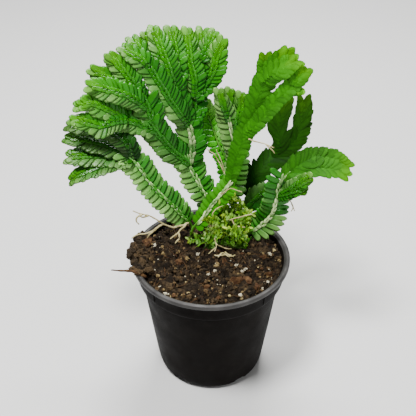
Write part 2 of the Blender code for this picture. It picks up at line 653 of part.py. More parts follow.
def main():
    clear_scene()
    home = collection("spikemoss_in_pot")
    workshop = collection("workshop", hidden=True)
    nodes = []
    nodes.append((make_pot(workshop), material("pot_plastic", (0.02, 0.018, 0.016), 0.5)))
    feet = [(*plan["foot"][0], STEM_RADIUS) for plan in FRONDS.values()]
    feet += [(*plan["foot"], CLUMP_RADIUS) for plan in TUFTS.values()]
    nodes.append((make_soil(feet, workshop), material("peat_soil", (0.035, 0.022, 0.014), 0.95)))
    green = material("frond_green", (0.09, 0.28, 0.03), 0.42)
    for name, plan in FRONDS.items():
        nodes.append((frond(name, plan, workshop), green))
    bright = material("shoot_green", (0.26, 0.42, 0.05), 0.5)
    for name, plan in TUFTS.items():
        nodes.append((tuft(name, plan, workshop), bright))
    tan = material("root_tan", (0.55, 0.47, 0.27), 0.7)
    for name, lines in ROOTS.items():
        nodes.append((roots(name, lines, workshop), tan))
    pivot = bpy.data.objects.new("spikemoss", None)
    home.objects.link(pivot)
    for obj, mat in nodes:
        for old in list(obj.users_collection):
            old.objects.unlink(obj)
        home.objects.link(obj)
        obj.parent = pivot
        obj.data.materials.clear()
        obj.data.materials.append(mat)
        for face in obj.data.polygons:
            face.material_index = 0
    bpy.data.collections.remove(workshop)


main()
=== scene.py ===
"""The looks of the potted spikemoss: every leaf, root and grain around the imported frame.

Routes and sizes are in millimetres, as in the part's source; meshes are made in metres."""

import math

import bmesh
import bpy
import numpy as np
from mathutils import Matrix, Vector, noise


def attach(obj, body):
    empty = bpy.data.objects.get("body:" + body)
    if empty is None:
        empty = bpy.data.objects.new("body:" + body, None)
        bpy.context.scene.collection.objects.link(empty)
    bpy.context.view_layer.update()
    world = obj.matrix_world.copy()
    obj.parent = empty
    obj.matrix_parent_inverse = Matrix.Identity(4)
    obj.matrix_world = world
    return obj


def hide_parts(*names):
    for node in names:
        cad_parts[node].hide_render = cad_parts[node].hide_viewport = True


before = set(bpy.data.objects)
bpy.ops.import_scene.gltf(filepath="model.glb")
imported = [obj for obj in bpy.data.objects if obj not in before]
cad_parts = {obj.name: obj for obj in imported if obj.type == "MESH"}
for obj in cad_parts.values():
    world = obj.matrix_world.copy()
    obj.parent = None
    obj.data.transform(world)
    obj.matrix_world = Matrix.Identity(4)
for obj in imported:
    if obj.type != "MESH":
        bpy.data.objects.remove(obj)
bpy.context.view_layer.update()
MM = 0.001
rng = np.random.default_rng(7)
# Unseeded, the noise that bends roots and thin stems would differ from run to run
noise.seed_set(7)

# Pot and soil, as in the frame
POT_HEIGHT = 52.0
RIM_RADIUS = 30.0
BASE_RADIUS = 20.6
COLLAR_DEPTH = 8.5
COLLAR_STEP = 1.1
LIP = 1.5
WALL = 0.9
DRAIN_HOLES = 5
DRAIN_RADIUS = 2.6
DRAIN_RING = 13.0
SOIL_LEVEL = 49.2
SOIL_MOUND = 2.4

# Layers of the fans, as in the frame, the length over which a branch rises to its layer, and how
# far the leaves reach past the frame's coarser ones
LIFT_SCALE = 1.9
LIFT_RUN = 5.0
LEAF_REACH = 1.1
TIP_REACH = 2.6

# Leaves along a branch: first place, pitch, crowding near a tip, widths, and the lengths over which
# they grow to full size at the foot and close up at the tip
FIRST_LEAF = 0.3
STALK_PITCH = 2.2
FAN_PITCH = 1.5
SMOOTH_PITCH = 1.45
TIP_CROWD = 0.6
CROWD_RUN = 4.0
STALK_LEAF_WIDTH = 2.7
LEAF_WIDTH = 2.6
GROW_RUN = 5.0
TIP_RUN = 6.5

# Forward lean of the leaves, in degrees
STALK_LEAN = 18
FAN_LEAN = 38
TIP_LEAN = 72

# Small leaves on a stalk and on a fan: length, width, distance from the midline, spread in degrees
SMALL_ON_STALK = (3.0, 0.9, 0.2, 6.0)
SMALL_ON_FAN = (2.5, 1.45, 0.3, 15.0)

# One leaf: rows and columns of quads, its width at the foot as a share of the full one, where it is
# widest and where its end starts to close, as shares of its length, and its thickness at each face
LEAF_ROWS = 7
LEAF_COLS = 4
FOOT_WIDTH = 0.62
WIDEST = 0.38
ROUND_END = 0.62
POINTED_END = 0.45
SHOOT_END = 0.4
SMALL_END = 0.25
LEAF_FACE = 0.07

# Radii at the foot and the end of stems and roots, and how far short of its tip a stem ends
FOOT_RADII = (0.6, 0.42)
STALK_RADII = (0.42, 0.36)
BRANCH_RADII = (0.34, 0.16)
SHOOT_RADII = (0.22, 0.12)
ROOT_RADII = (0.28, 0.16)
THICK_ROOT_RADII = (0.44, 0.22)
STEM_SHORT = 3.6

# Fine pot and soil: sides and rings of their meshes, moulding ribs, and the soil's hidden lower edge
POT_SIDES = 144
RIB_TURNS = (-47, 43, 133, 223)
RIB_RADIUS = 0.45
SOIL_RINGS = 88
SOIL_SIDES = 200
SOIL_SKIRT = 40.0

# Grains on the soil: counts, sizes and how far from the middle they lie
CRUMBS = 2000
CRUMB_SIZES = (0.18, 1.0)
CRUMB_REACH = 27.2
SPILL_CRUMBS = 150
SPILL_SIZES = (0.6, 1.9)
SMALL_PERLITE = 70
SMALL_BARK = 16
GRAIN_REACH = 26.0
FIBRES = 60
FIBRE_REACH = 25.5

# Soft boxes: place and size in metres, and power
LIGHTS = {
    "key": ((-0.16, -0.16, 0.68), 0.16, 8.5),
    "top": ((0.05, 0.32, 0.6), 0.25, 6.5),
    "fill": ((0.5, -0.4, 0.3), 0.5, 1.3),
}
LIGHT_AIM = (0, 0.01, 0.07)
WORLD_STRENGTH = 0.14

# Camera: the photograph's viewing angle
CAMERA_DISTANCE = 300.0
CAMERA_ELEVATION = math.radians(38.5)
CAMERA_PITCH = math.radians(35.2)
CAMERA_X = -1.01
CAMERA_LENS = 68.54

# Edges sharper than this, such as a leaf's rim, shade as edges
SHARP_ANGLE = math.radians(60)

# Upper faces of ribbons that show their upper side, and that show their underside
UP_FRONT = (0.0, -0.75, 0.66)
UNDER = (0.0, 0.85, -0.5)


def frond(tone, foot, branches, under=False, smooth=False):
    return {"tone": tone, "stem": foot, "branches": branches, "under": under, "smooth": smooth}


def branch(points, facing, full, lift=0.0, **options):
    return points, facing, full, {"lift": lift, **options}


def tip(points, facing, full, lift=0.0, **options):
    return points, facing, full, {"lift": lift, "tip": True, **options}


# Each frond: tone, foot, branches, whether its underside shows, and whether it is smooth, with broad
# leaves that lie close. The tone multiplies the leaves' colour and is partly their own green and
# partly painted shade and light: frond_back_right and the upper left tips under the centre fan are
# darkened as painted shade, and the stalks and frond_back, in shadow behind, are brightened as painted
# light. Each branch, or tip where it ends in the open: points, upper face, leaf length, layer and
# options. Of these, bare marks a stalk and is the length with no leaves at its foot; tone is its
# own, as for a frond; a painted highlight, paler leaf ends and midribs, is set for its small leaves
# and, by sheen, for its large ones; smooth=True also makes its leaves matte and grows no small ones;
# close leans its leaves forward, in degrees; and slow, open and stop are the lengths over which its
# leaves grow to full size, one row stands out, longer and with a strong painted highlight, and no
# leaf grows at the end.
FRONDS = {}
FRONDS["frond_left"] = frond(0.85, [(-6.5, 15.5, 47), (-7.5, 15.2, 54), (-10.5, 14, 59)], [
    branch([(-7.5, 15.2, 54), (-10.5, 14, 59), (-15, 13, 65.5), (-19, 12.5, 70.5), (-22.5, 12.5, 75.5),
        (-25.5, 13, 80.5), (-29.5, 14, 86)], (0.45, -0.6, 0.5), 5.4, bare=2.5, gloss=0.4, tone=1.65,
        sheen=0.25),
    # These two upper tips are darkened: painted shade under the centre fan.
    tip([(-28.5, 13.8, 85), (-35, 15, 88.5), (-42.5, 16, 91), (-50.8, 16.9, 91.8)], (0.0, -0.5, 0.86),
        4.4, 0.6, tone=0.6),
    tip([(-28.3, 13.9, 84.8), (-31, 15.5, 90.5), (-36.5, 16.8, 94), (-44, 18, 95.5), (-51, 19, 95.5)],
        (0.0, -0.5, 0.86), 4.0, 1.0, tone=0.4),
    tip([(-28.5, 13.8, 85), (-36, 13, 87), (-43.5, 12.5, 87.5), (-51, 12.1, 87.5)], (0.0, -0.55, 0.84),
        4.4),
    tip([(-28.5, 13.8, 85), (-35.5, 11, 86), (-41, 9, 85.5), (-47, 8, 83.5), (-50.8, 7.2, 81.2)],
        (0.0, -0.45, 0.9), 3.8, -0.6),
])
FRONDS["frond_centre"] = frond(1.12, [(-3.5, 18.8, 47), (-3.2, 18.4, 53.5), (-2, 18, 57.5)], [
    branch([(-3.2, 18.4, 53.5), (-2, 18, 57.5), (-0.5, 18.5, 62.5), (-2.5, 19, 67), (-5, 20, 71.5),
        (-7, 21, 75.5), (-8, 21.5, 79)], UP_FRONT, 5.2, bare=3.0, gloss=0.5, tone=1.7, sheen=0.25),
    branch([(-7.5, 21.3, 78), (-11, 21, 81.5), (-14.5, 20.5, 85.5), (-18, 20, 90.5), (-20.5, 20, 94)],
        (-0.2, -0.75, 0.66), 5.0),
    tip([(-20, 20, 93), (-26, 18.5, 97.5), (-31, 17.5, 100), (-36, 16, 104.5), (-41, 15, 107.5),
        (-45, 13.4, 108)], UP_FRONT, 4.3, -0.5),
    tip([(-30, 17.7, 99.5), (-35, 15.5, 99.5), (-39.5, 14, 99), (-44, 13, 101), (-47.8, 12.3, 102.2)],
        UP_FRONT, 4.0, 0.6),
    branch([(-20.8, 20.4, 96), (-24.5, 20.8, 101), (-27, 20.6, 105.5)], UP_FRONT, 4.8, -0.9),
    branch([(-20, 20, 93), (-21.5, 21, 98.5), (-23, 22, 102.5)], UP_FRONT, 5.4),
    tip([(-22.8, 21.9, 101.8), (-29, 21, 107), (-34, 20, 109.5), (-39.5, 19, 111.5),
        (-42.6, 17.4, 112.6)], UP_FRONT, 4.2, 0.5),
    tip([(-22.8, 21.9, 101.8), (-25.5, 23, 105.5), (-29, 23.5, 108.5), (-33.5, 24, 111.5), (-38, 24, 114),
        (-40.8, 23.6, 115.8)], UP_FRONT, 4.2, -0.5),
    tip([(-25.3, 22.9, 105), (-27.5, 24.5, 109.5), (-30, 26, 113), (-33, 27, 116.5), (-35.5, 27.5, 119)],
        UP_FRONT, 4.1),
    branch([(-7.8, 21.4, 78.2), (-7, 22.5, 83), (-7, 23.5, 87.5), (-8, 25.5, 93.5)], UP_FRONT, 5.2,
        gloss=0.6),
    branch([(-8, 25.2, 92.8), (-11.5, 25.5, 97.5), (-14.5, 26, 102), (-17.5, 27, 107), (-21, 29, 112.5)],
        UP_FRONT, 4.5, 0.8),
    tip([(-20.6, 28.8, 112), (-24, 30, 116), (-28, 31, 118.5), (-31, 32, 120)], UP_FRONT, 4.0, 1.0),
    tip([(-20.6, 28.8, 112), (-23, 31, 116.5), (-25.5, 33, 120), (-28, 35, 122.5)], UP_FRONT, 4.0),
    branch([(-8, 25.2, 92.8), (-10, 26, 98.5), (-12, 27, 103.5), (-13, 28, 107)], UP_FRONT, 4.4),
    tip([(-12.9, 27.8, 106.4), (-15, 30, 113.5), (-17.5, 33, 119), (-20.5, 37, 125)], UP_FRONT, 4.2, 0.5),
    tip([(-12.9, 27.8, 106.4), (-12.5, 30.5, 113), (-13, 34, 119.5), (-14.5, 38, 125.5)], UP_FRONT, 4.2,
        -0.5),
    tip([(-14.8, 29.8, 113), (-18.5, 32, 117.5), (-21, 35, 120.5), (-23.5, 37, 124)], UP_FRONT, 3.6, 0.4),
    branch([(-8, 25.2, 92.8), (-6.5, 26.5, 98), (-6, 28.5, 103.5)], UP_FRONT, 4.6, -0.8),
    tip([(-6, 28.2, 102.8), (-6, 31, 109), (-7.5, 34, 115), (-8.5, 39, 123)], UP_FRONT, 4.2, 0.5),
    tip([(-6, 28.2, 102.8), (-4.5, 30.5, 109), (-3.5, 33.5, 116), (-3, 38.5, 124.5)], UP_FRONT, 4.2,
        -0.4),
    tip([(-3.6, 33.2, 115.5), (-1.5, 35.5, 119.5), (1, 38, 124)], UP_FRONT, 3.6),
    tip([(-6, 28.2, 102.8), (-2.5, 29, 108), (0.5, 30, 113.5), (2, 31.5, 118), (3.5, 33, 122)], UP_FRONT,
        4.3, -1.3),
])
FRONDS["frond_front"] = frond(1.05, [(-8, 11, 47), (-7, 11.6, 55), (-3, 12, 60)], [
    branch([(-7, 11.6, 55), (-3, 12, 60), (0.5, 12, 66), (4, 11.5, 71.5), (7, 11, 76.5), (8, 10.5, 82),
        (9, 10, 87.5), (10.5, 9.5, 93), (11.5, 9, 98)], (0.1, 0.8, -0.55), 3.0, bare=18.0, slow=22.0),
    branch([(-7, 11.6, 55), (-3, 12, 60), (0.5, 12, 66), (4, 11.5, 71.5), (6, 11.2, 74.5)], UP_FRONT, 3.5,
        bare=0.5, gloss=1.1, tone=1.4, smooth=False),
    branch([(11.4, 9, 97.4), (13.5, 8.5, 103), (15, 8, 109), (16.5, 7.5, 115), (18, 7, 120.5)], UNDER,
        3.8, 0.4),
    tip([(17.8, 7, 119.8), (17.8, 7, 123.8), (18, 7, 127)], UNDER, 4.0, 0.8),
    tip([(17.8, 7, 119.8), (21, 6, 125.5), (24, 5, 130.8)], UNDER, 4.0),
    tip([(17.8, 7, 119.8), (21.5, 5, 124.5), (27, 3, 129.3)], UNDER, 4.0, -0.8),
    branch([(11.4, 9, 97.4), (15, 8, 102.5), (18.5, 6.5, 108), (22, 5, 114), (25, 4, 118)], UNDER, 2.6,
        -0.6),
    tip([(24.6, 4.1, 117.5), (28, 3, 122.3), (31, 2, 126.6)], UNDER, 3.0, -0.9),
    tip([(24.6, 4.1, 117.5), (27.5, 3, 119), (30, 2, 120)], UNDER, 2.8, -0.5),
], under=True, smooth=True)
FRONDS["frond_middle"] = frond(0.9, [(3.5, 18.5, 47), (4, 18.8, 54), (6, 20, 60)], [
    branch([(4, 18.8, 54), (6, 20, 60), (8.5, 20, 67.5), (9.5, 20.5, 75.5), (10, 21.5, 82.5),
        (8.5, 23, 89), (7, 24.5, 95)], (-0.3, -0.75, 0.6), 4.6, bare=8.0, gloss=0.8, sheen=0.5),
    tip([(7.1, 24.4, 94.4), (5.5, 26, 99), (3.5, 28, 105)], (-0.2, -0.75, 0.6), 3.6, 0.6, sheen=0.6),
    tip([(7.1, 24.4, 94.4), (7, 26, 99), (7, 28, 105)], (-0.2, -0.75, 0.6), 3.6, -0.4, sheen=0.3),
    tip([(8.7, 22.8, 88.4), (10, 24, 95.5), (11, 25, 100), (11, 26, 104)], (-0.2, -0.75, 0.6), 3.8),
])
# Brightened: painted light on a frond that lies in shadow behind the others.
FRONDS["frond_back"] = frond(2.1, [(7.5, 22, 47), (8, 22.6, 54), (8.8, 25.5, 60.5)], [
    tip([(8, 22.6, 54), (8.8, 25.5, 60.5), (7.5, 27, 70.5), (6, 27.5, 77), (3.5, 28.5, 82),
        (1.5, 30.5, 87), (-0.5, 33, 91.5), (-1.5, 34.5, 96)], (0.0, 0.8, -0.55), 4.2, bare=9.0),
    tip([(1.6, 30.3, 86.6), (3, 32.5, 91), (4, 35, 96)], (0.0, 0.8, -0.55), 3.6, 0.5),
])
# Darkened far below its own green: painted shade on a frond at the back.
FRONDS["frond_back_right"] = frond(0.26, [(12.5, 19, 47), (13, 20, 54.5), (14.5, 23.5, 62)], [
    branch([(13, 20, 54.5), (14.5, 23.5, 62), (17, 25.5, 69), (21.5, 27, 74.5), (25.5, 28, 77.5)],
        (0.3, 0.75, -0.6), 4.6, bare=9.0, close=8.0),
    tip([(25, 27.9, 77.2), (26.5, 29, 82.5), (26, 30, 88.5), (27.5, 32, 97.5)], UNDER, 5.2, -0.5,
        close=14.0),
    tip([(25, 27.9, 77.2), (29, 28, 81), (32.5, 28, 86), (34.4, 29, 93), (34.9, 29.7, 99.5)], UNDER, 4.5,
        0.3, close=14.0),
], under=True, smooth=True)
FRONDS["frond_right"] = frond(0.95, [(13.5, 11.5, 47), (14.2, 11.2, 53.2), (17.5, 10.5, 55.8)], [
    branch([(14.2, 11.2, 53.2), (17.5, 10.5, 55.8), (21, 9, 60.5), (23.5, 8, 66.5), (24.5, 7.5, 73),
        (25, 7.5, 77.5), (26.5, 7.5, 81.5), (29, 7.5, 84)], (0.2, -0.75, 0.62), 5.2, bare=2.0, gloss=1.0,
        tone=1.5, sheen=-0.5, open=14.0, stop=5.0),
    tip([(26.2, 7.3, 81), (28.4, 7.5, 83.6), (32, 8, 86.8), (36.5, 8.5, 88.8), (43, 8.5, 88.6),
        (48.2, 8, 86.6)], (0.1, -0.6, 0.78), 3.8, 0.1, smooth=True, tone=0.6),
    tip([(28.4, 7.5, 83.6), (33, 6.4, 85.2), (38, 5.6, 87), (44, 5, 86.6), (47.8, 3.6, 85)],
        (0.1, -0.6, 0.78), 3.6, -0.1, smooth=True, tone=0.64),
    tip([(24.8, 7.5, 73.5), (27.5, 5, 76.5), (30.5, 3, 80.5), (35, 1, 85.5)], (0.1, -0.7, 0.68), 3.0),
    tip([(27.2, 5.2, 76.2), (30.5, 3, 78.5), (34, 2, 79.5)], (0.1, -0.7, 0.68), 2.6),
])
FRONDS["frond_low"] = frond(0.5, [(11.5, 15.2, 47), (12, 15.8, 54), (14, 18, 59.5)], [
    tip([(12, 15.8, 54), (14, 18, 59.5), (17.5, 19.5, 63.5), (21.5, 20.5, 66.5), (26, 21, 69)],
        (0.0, -0.7, 0.7), 3.4, bare=5.0),
], smooth=True)

# Shoots at the crown: tone, a factor on their colour, and clumps as (middle, half widths, number of
# shoots, heights).
TUFTS = {
    "crown_shoots_bright": (1.05, [((7.5, 8.5), (7.5, 4.5), 22, (3.0, 13.0)),
                                   ((9.8, 14.0), (5.5, 3.5), 22, (7.0, 20.0))]),
    "crown_shoots_dark": (0.6, [((-3.0, 7.5), (5.5, 4.0), 15, (2.5, 7.0))]),
}

# Roots, each node as lines of points.
ROOTS = {
    "roots_left": [[(-8.6, 13.2, 56.6), (-14, 9.2, 57.6), (-18, 8, 60), (-20.5, 7, 63), (-23.5, 6.5, 65),
        (-26.5, 6, 66.5), (-29, 5.5, 68)], [(-25.5, 6.1, 66), (-27.5, 5, 65.5), (-28, 4.5, 64),
        (-27, 4.5, 62.5)], [(-18, 8, 60), (-21.5, 6.5, 58.5), (-24.5, 6, 57), (-27.5, 5.5, 57),
        (-30, 5, 55.5)], [(-20.5, 6.9, 59), (-22.5, 6, 57.5), (-24, 5.5, 55.2)], [(-9.4, 12.4, 57),
        (-12.5, 8.5, 55.6), (-15.5, 6.5, 54)], [(-23.5, 6.5, 65), (-25.6, 6.4, 64.4), (-26.6, 6.2, 65.6)],
        [(-12.5, 8.5, 55.6), (-12, 6.6, 54.4), (-13.4, 5.2, 53)]],
    "roots_crown": [[(0.5, 12.4, 57.5), (1.5, 7.2, 54.5), (2.2, 3.8, 53.4), (1.5, 1.0, 52.2)],
        [(2.1, 4.2, 53.6), (5.2, 2.2, 53.0), (8.0, 2.8, 52.0)], [(1.5, -1.0, 52.1), (4.0, -2.0, 52.5),
        (6.5, -0.8, 52.3), (8.4, -1.8, 52.0)], [(2.8, -2.2, 52.1), (4.6, -0.4, 52.7), (6.8, -2.2, 52.2),
        (7.6, -0.6, 52.0)], [(5.4, 0.4, 52.6), (7.4, -2.0, 52.4), (9.2, -0.8, 52.0)], [(1.9, 2.6, 53.0),
        (0.2, 0.6, 52.4), (-1.2, -0.6, 51.8)], [(5.5, 10, 60), (8, 7.6, 62.5), (11.5, 6.5, 64.5),
        (15.5, 6, 66)], [(8, 7.6, 62.5), (9.5, 6.4, 60.5), (13, 6, 60)], [(1.5, 9, 60.5), (0.5, 9, 64),
        (2.5, 9.4, 66.5), (4.6, 9.6, 67.6)]],
    "roots_fork": [[(13.4, 8.2, 97.2), (15, 6.2, 97.6), (17, 5.6, 97.5), (19.5, 5, 97), (22, 5, 95.5)],
        [(19.3, 5, 97), (21, 4.5, 95.5), (22.5, 4.5, 93.5)]],
    "roots_bend": [[(3.8, 10.4, 72.4), (4.4, 9, 73.4), (6.5, 8.4, 75.5), (8.5, 8, 76),
        (11.5, 8.2, 74.5)]],
    "roots_middle": [[(6.6, 12, 78), (5.6, 13.4, 79), (4.5, 14, 80.5), (3, 15, 83.5), (1, 15, 87),
        (-1, 15, 89)], [(4.6, 13.9, 80.3), (4, 13.5, 85), (2, 13, 90)]],
    "roots_right": [[(26.6, 7.4, 74.4), (27.6, 6.6, 73.6), (29.2, 5.2, 72.6), (30, 4.5, 71.5),
        (31, 4, 69)], [(29.8, 4.7, 71.8), (30.4, 4.2, 70.4), (29.8, 4, 68.8)]],
}

# Grains on the soil, (x, y, size), where the photograph shows the clearest ones.
PERLITE = [(-20.9, 2.9, 0.9), (-4.8, 1.0, 0.8), (22.7, 2.9, 0.8), (9.5, -4.9, 0.9),
           (12.8, -6.7, 0.8), (11.6, -7.9, 0.6), (-0.6, -10.7, 0.7), (1.4, -8.2, 0.7),
           (-18.5, -15.8, 0.7), (-16.1, -19.8, 0.8), (20.9, -13.5, 0.7), (18.6, -16.5, 0.7),
           (10.5, -20.7, 0.8), (-24.7, -8.5, 0.6), (-23.2, -9.1, 0.6)]
BARK = [(-24.0, 4.7, 2.6), (9.2, -13.5, 2.6), (13.5, -12.8, 2.0), (16.7, -16.9, 2.2),
        (-1.7, -16.6, 1.5), (21.6, -9.6, 1.4), (-12.0, -3.5, 1.8), (5.0, -3.0, 1.6)]


def catmull(points, per_span=14):
    """A smooth curve through the points."""
    pts = [np.array(p, float) for p in points]
    pts = [2 * pts[0] - pts[1]] + pts + [2 * pts[-1] - pts[-2]]
    out = []
    for a, b, c, d in zip(pts, pts[1:], pts[2:], pts[3:]):
        for k in range(per_span):
            t = k / per_span
            out.append(0.5 * (2 * b + (c - a) * t + (2 * a - 5 * b + 4 * c - d) * t * t
                              + (3 * b - a - 3 * c + d) * t ** 3))
    out.append(pts[-2])
    return np.array(out)


def length_of(curve):
    return float(np.linalg.norm(np.diff(curve, axis=0), axis=1).sum())


def at(curve, where):
    """Points at given lengths along a curve; past its end it runs straight on."""
    steps = np.linalg.norm(np.diff(curve, axis=0), axis=1)
    run = np.concatenate([[0], np.cumsum(steps)])
    where = np.asarray(where, float)
    pts = np.stack([np.interp(where, run, curve[:, k]) for k in range(3)], -1)
    beyond = np.maximum(0.0, where - run[-1])[:, None]
    return pts + beyond * (curve[-1] - curve[-2]) / steps[-1]


def unit(v):
    return v / np.maximum(np.linalg.norm(v, axis=-1, keepdims=True), 1e-9)


def frames_at(curve, where, facing):
    """Point, tangent, upper-face normal and side at given lengths."""
    pts = at(curve, where)
    tan = unit(at(curve, np.asarray(where) + 0.4) - at(curve, np.maximum(0, where - 0.4)))
    facing = np.array(facing, float)
    normal = unit(facing - (tan @ facing)[:, None] * tan)
    return pts, tan, normal, np.cross(tan, normal)


def mesh_piece(name, verts, faces, mat, tint=None, smooth=True, crisp=False):
    """One mesh object in millimetres turned to metres, with its tint colours."""
    mesh = bpy.data.meshes.new(name)
    mesh.from_pydata((np.asarray(verts) * MM).tolist(), [], [list(f) for f in faces])
    if smooth:
        mesh.shade_smooth()
    if crisp:
        mesh.set_sharp_from_angle(angle=SHARP_ANGLE)
    if tint is not None:
        layer = mesh.color_attributes.new("tint", "FLOAT_COLOR", "POINT")
        rgba = np.ones((len(verts), 4), np.float32)
        rgba[:, :3] = tint
        layer.data.foreach_set("color", rgba.ravel())
    mesh.materials.append(mat)
    obj = bpy.data.objects.new(name, mesh)
    bpy.context.scene.collection.objects.link(obj)
    return obj


def leaf_grid():
    """Corners (along, across, face) of a lens-shaped leaf and its quads, rim shared."""
    grid = {}
    corners = []
    for face in (1, -1):
        for i in range(LEAF_ROWS + 1):
            for j in range(LEAF_COLS + 1):
                rim = i in (0, LEAF_ROWS) or j in (0, LEAF_COLS)
                if rim and face == -1:
                    grid[i, j, face] = grid[i, j, 1]
                    continue
                grid[i, j, face] = len(corners)
                corners.append((i / LEAF_ROWS, 2 * j / LEAF_COLS - 1, 0 if rim else face))
    quads = []
    for face in (1, -1):
        for i in range(LEAF_ROWS):
            for j in range(LEAF_COLS):
                ring = [grid[i, j, face], grid[i + 1, j, face],
                        grid[i + 1, j + 1, face], grid[i, j + 1, face]]
                quads.append(ring if face == 1 else ring[::-1])
    return np.array(corners), np.array(quads)


CORNERS, QUADS = leaf_grid()


class Leaves:
    """Collects leaves, then makes one mesh of them."""

    def __init__(self):
        self.rows = []

    def add(self, base, along, up, length, width, curl, cup, age, tone, gloss):
        self.rows.append((base, along, up, length, width, curl, cup, age, tone, gloss))

    def piece(self, name, mat, blunt, crisp=False):
        """One mesh of all the leaves, with their tints, their paleness as painted highlight, and how near
        its side each point lies, for painted shade.
        """
        base, along, up = (np.array([r[k] for r in self.rows]) for k in range(3))
        length, width, curl, cup, age, tone, gloss = (np.array([r[k] for r in self.rows], float)
                                                      for k in range(3, 10))
        along = unit(along)
        up = unit(up - np.sum(up * along, -1)[:, None] * along)
        across = np.cross(along, up)
        u, v, face = CORNERS.T
        outline = FOOT_WIDTH + (1 - FOOT_WIDTH) * np.sin(np.pi * np.minimum(1, u / WIDEST) / 2)
        taper = np.maximum(0, (u - blunt) / (1.01 - blunt))
        outline = outline * np.sqrt(np.maximum(0.03, 1 - taper ** 2.4))
        count, per = len(base), len(u)
        reach = length[:, None] * u[None, :]
        half = width[:, None] / 2 * (outline * v)[None, :]
        rise = (-curl[:, None] * length[:, None] * (u ** 2)[None, :]
                + cup[:, None] * width[:, None] * (outline * (np.abs(v) ** 1.4))[None, :]
                + LEAF_FACE * face[None, :] * (1 - 0.5 * u)[None, :])
        verts = (base[:, None, :] + reach[..., None] * along[:, None, :]
                 + half[..., None] * across[:, None, :] + rise[..., None] * up[:, None, :])
        faces = (QUADS[None] + (np.arange(count) * per)[:, None, None]).reshape(-1, 4)
        tint = np.empty((count, per, 3))
        tint[..., 0] = np.clip(age[:, None] + 0.12 * (u - 0.5)[None, :], 0, 1)
        tint[..., 1] = rng.random(count)[:, None]
        tint[..., 2] = tone[:, None]
        piece = mesh_piece(name, verts.reshape(-1, 3), faces, mat, tint.reshape(-1, 3),
                           crisp=crisp)
        pale = gloss[:, None] * (0.35 + 0.65 * u)
        # pale holds the painted highlight, edge the nearness to a leaf's side, where painted shade falls.
        for label, values in (("pale", pale.ravel()), ("edge", np.tile(np.abs(v), count))):
            layer = piece.data.attributes.new(label, "FLOAT", "POINT")
            layer.data.foreach_set("value", values.astype(np.float32))
        return piece


def ring_quads(steps, sides):
    """Quads between rings of points that follow one another."""
    faces = []
    for i in range(steps):
        for k in range(sides):
            m = (k + 1) % sides
            faces.append((i * sides + k, i * sides + m, (i + 1) * sides + m, (i + 1) * sides + k))
    return faces


def tube_mesh(points, radii, sides=8, spacing=0.8, wobble=0.0, seed=0):
    """Vertices and faces of a tapering tube through the points, closed at its ends."""
    curve = catmull(points)
    total = length_of(curve)
    count = max(4, int(total / spacing))
    where = np.linspace(0, total, count + 1)
    pts = at(curve, where)
    for i in range(1, count + 1):
        pts[i] += np.array(noise.noise_vector(Vector(pts[i] * 0.35 + seed))) * wobble
    tan = unit(np.gradient(pts, axis=0))
    first = unit(np.cross(tan, np.array([0.31, 0.83, 0.46])))
    second = np.cross(tan, first)
    share = np.linspace(0, 1, count + 1)
    radius = radii[0] + (radii[1] - radii[0]) * share
    radius *= 1 + 0.12 * np.sin(where * 2.3 + seed)
    angle = np.arange(sides) * 2 * math.pi / sides
    ring = (np.cos(angle)[None, :, None] * first[:, None, :]
            + np.sin(angle)[None, :, None] * second[:, None, :])
    verts = (pts[:, None, :] + ring * radius[:, None, None]).reshape(-1, 3)
    faces = ring_quads(count, sides)
    verts = np.vstack([verts, pts[0] - tan[0] * radius[0] * 0.6, pts[-1] + tan[-1] * radius[-1]])
    low, high = len(verts) - 2, len(verts) - 1
    for k in range(sides):
        m = (k + 1) % sides
        faces.append((low, m, k))
        faces.append((high, count * sides + k, count * sides + m))
    return verts, faces


def joined(parts):
    """Vertices and faces of several meshes as one."""
    verts, faces, offset = [], [], 0
    for v, f in parts:
        verts.append(v)
        faces += [tuple(i + offset for i in face) for face in f]
        offset += len(v)
    return np.vstack(verts), faces


def grey(value):
    return (value, value, value)


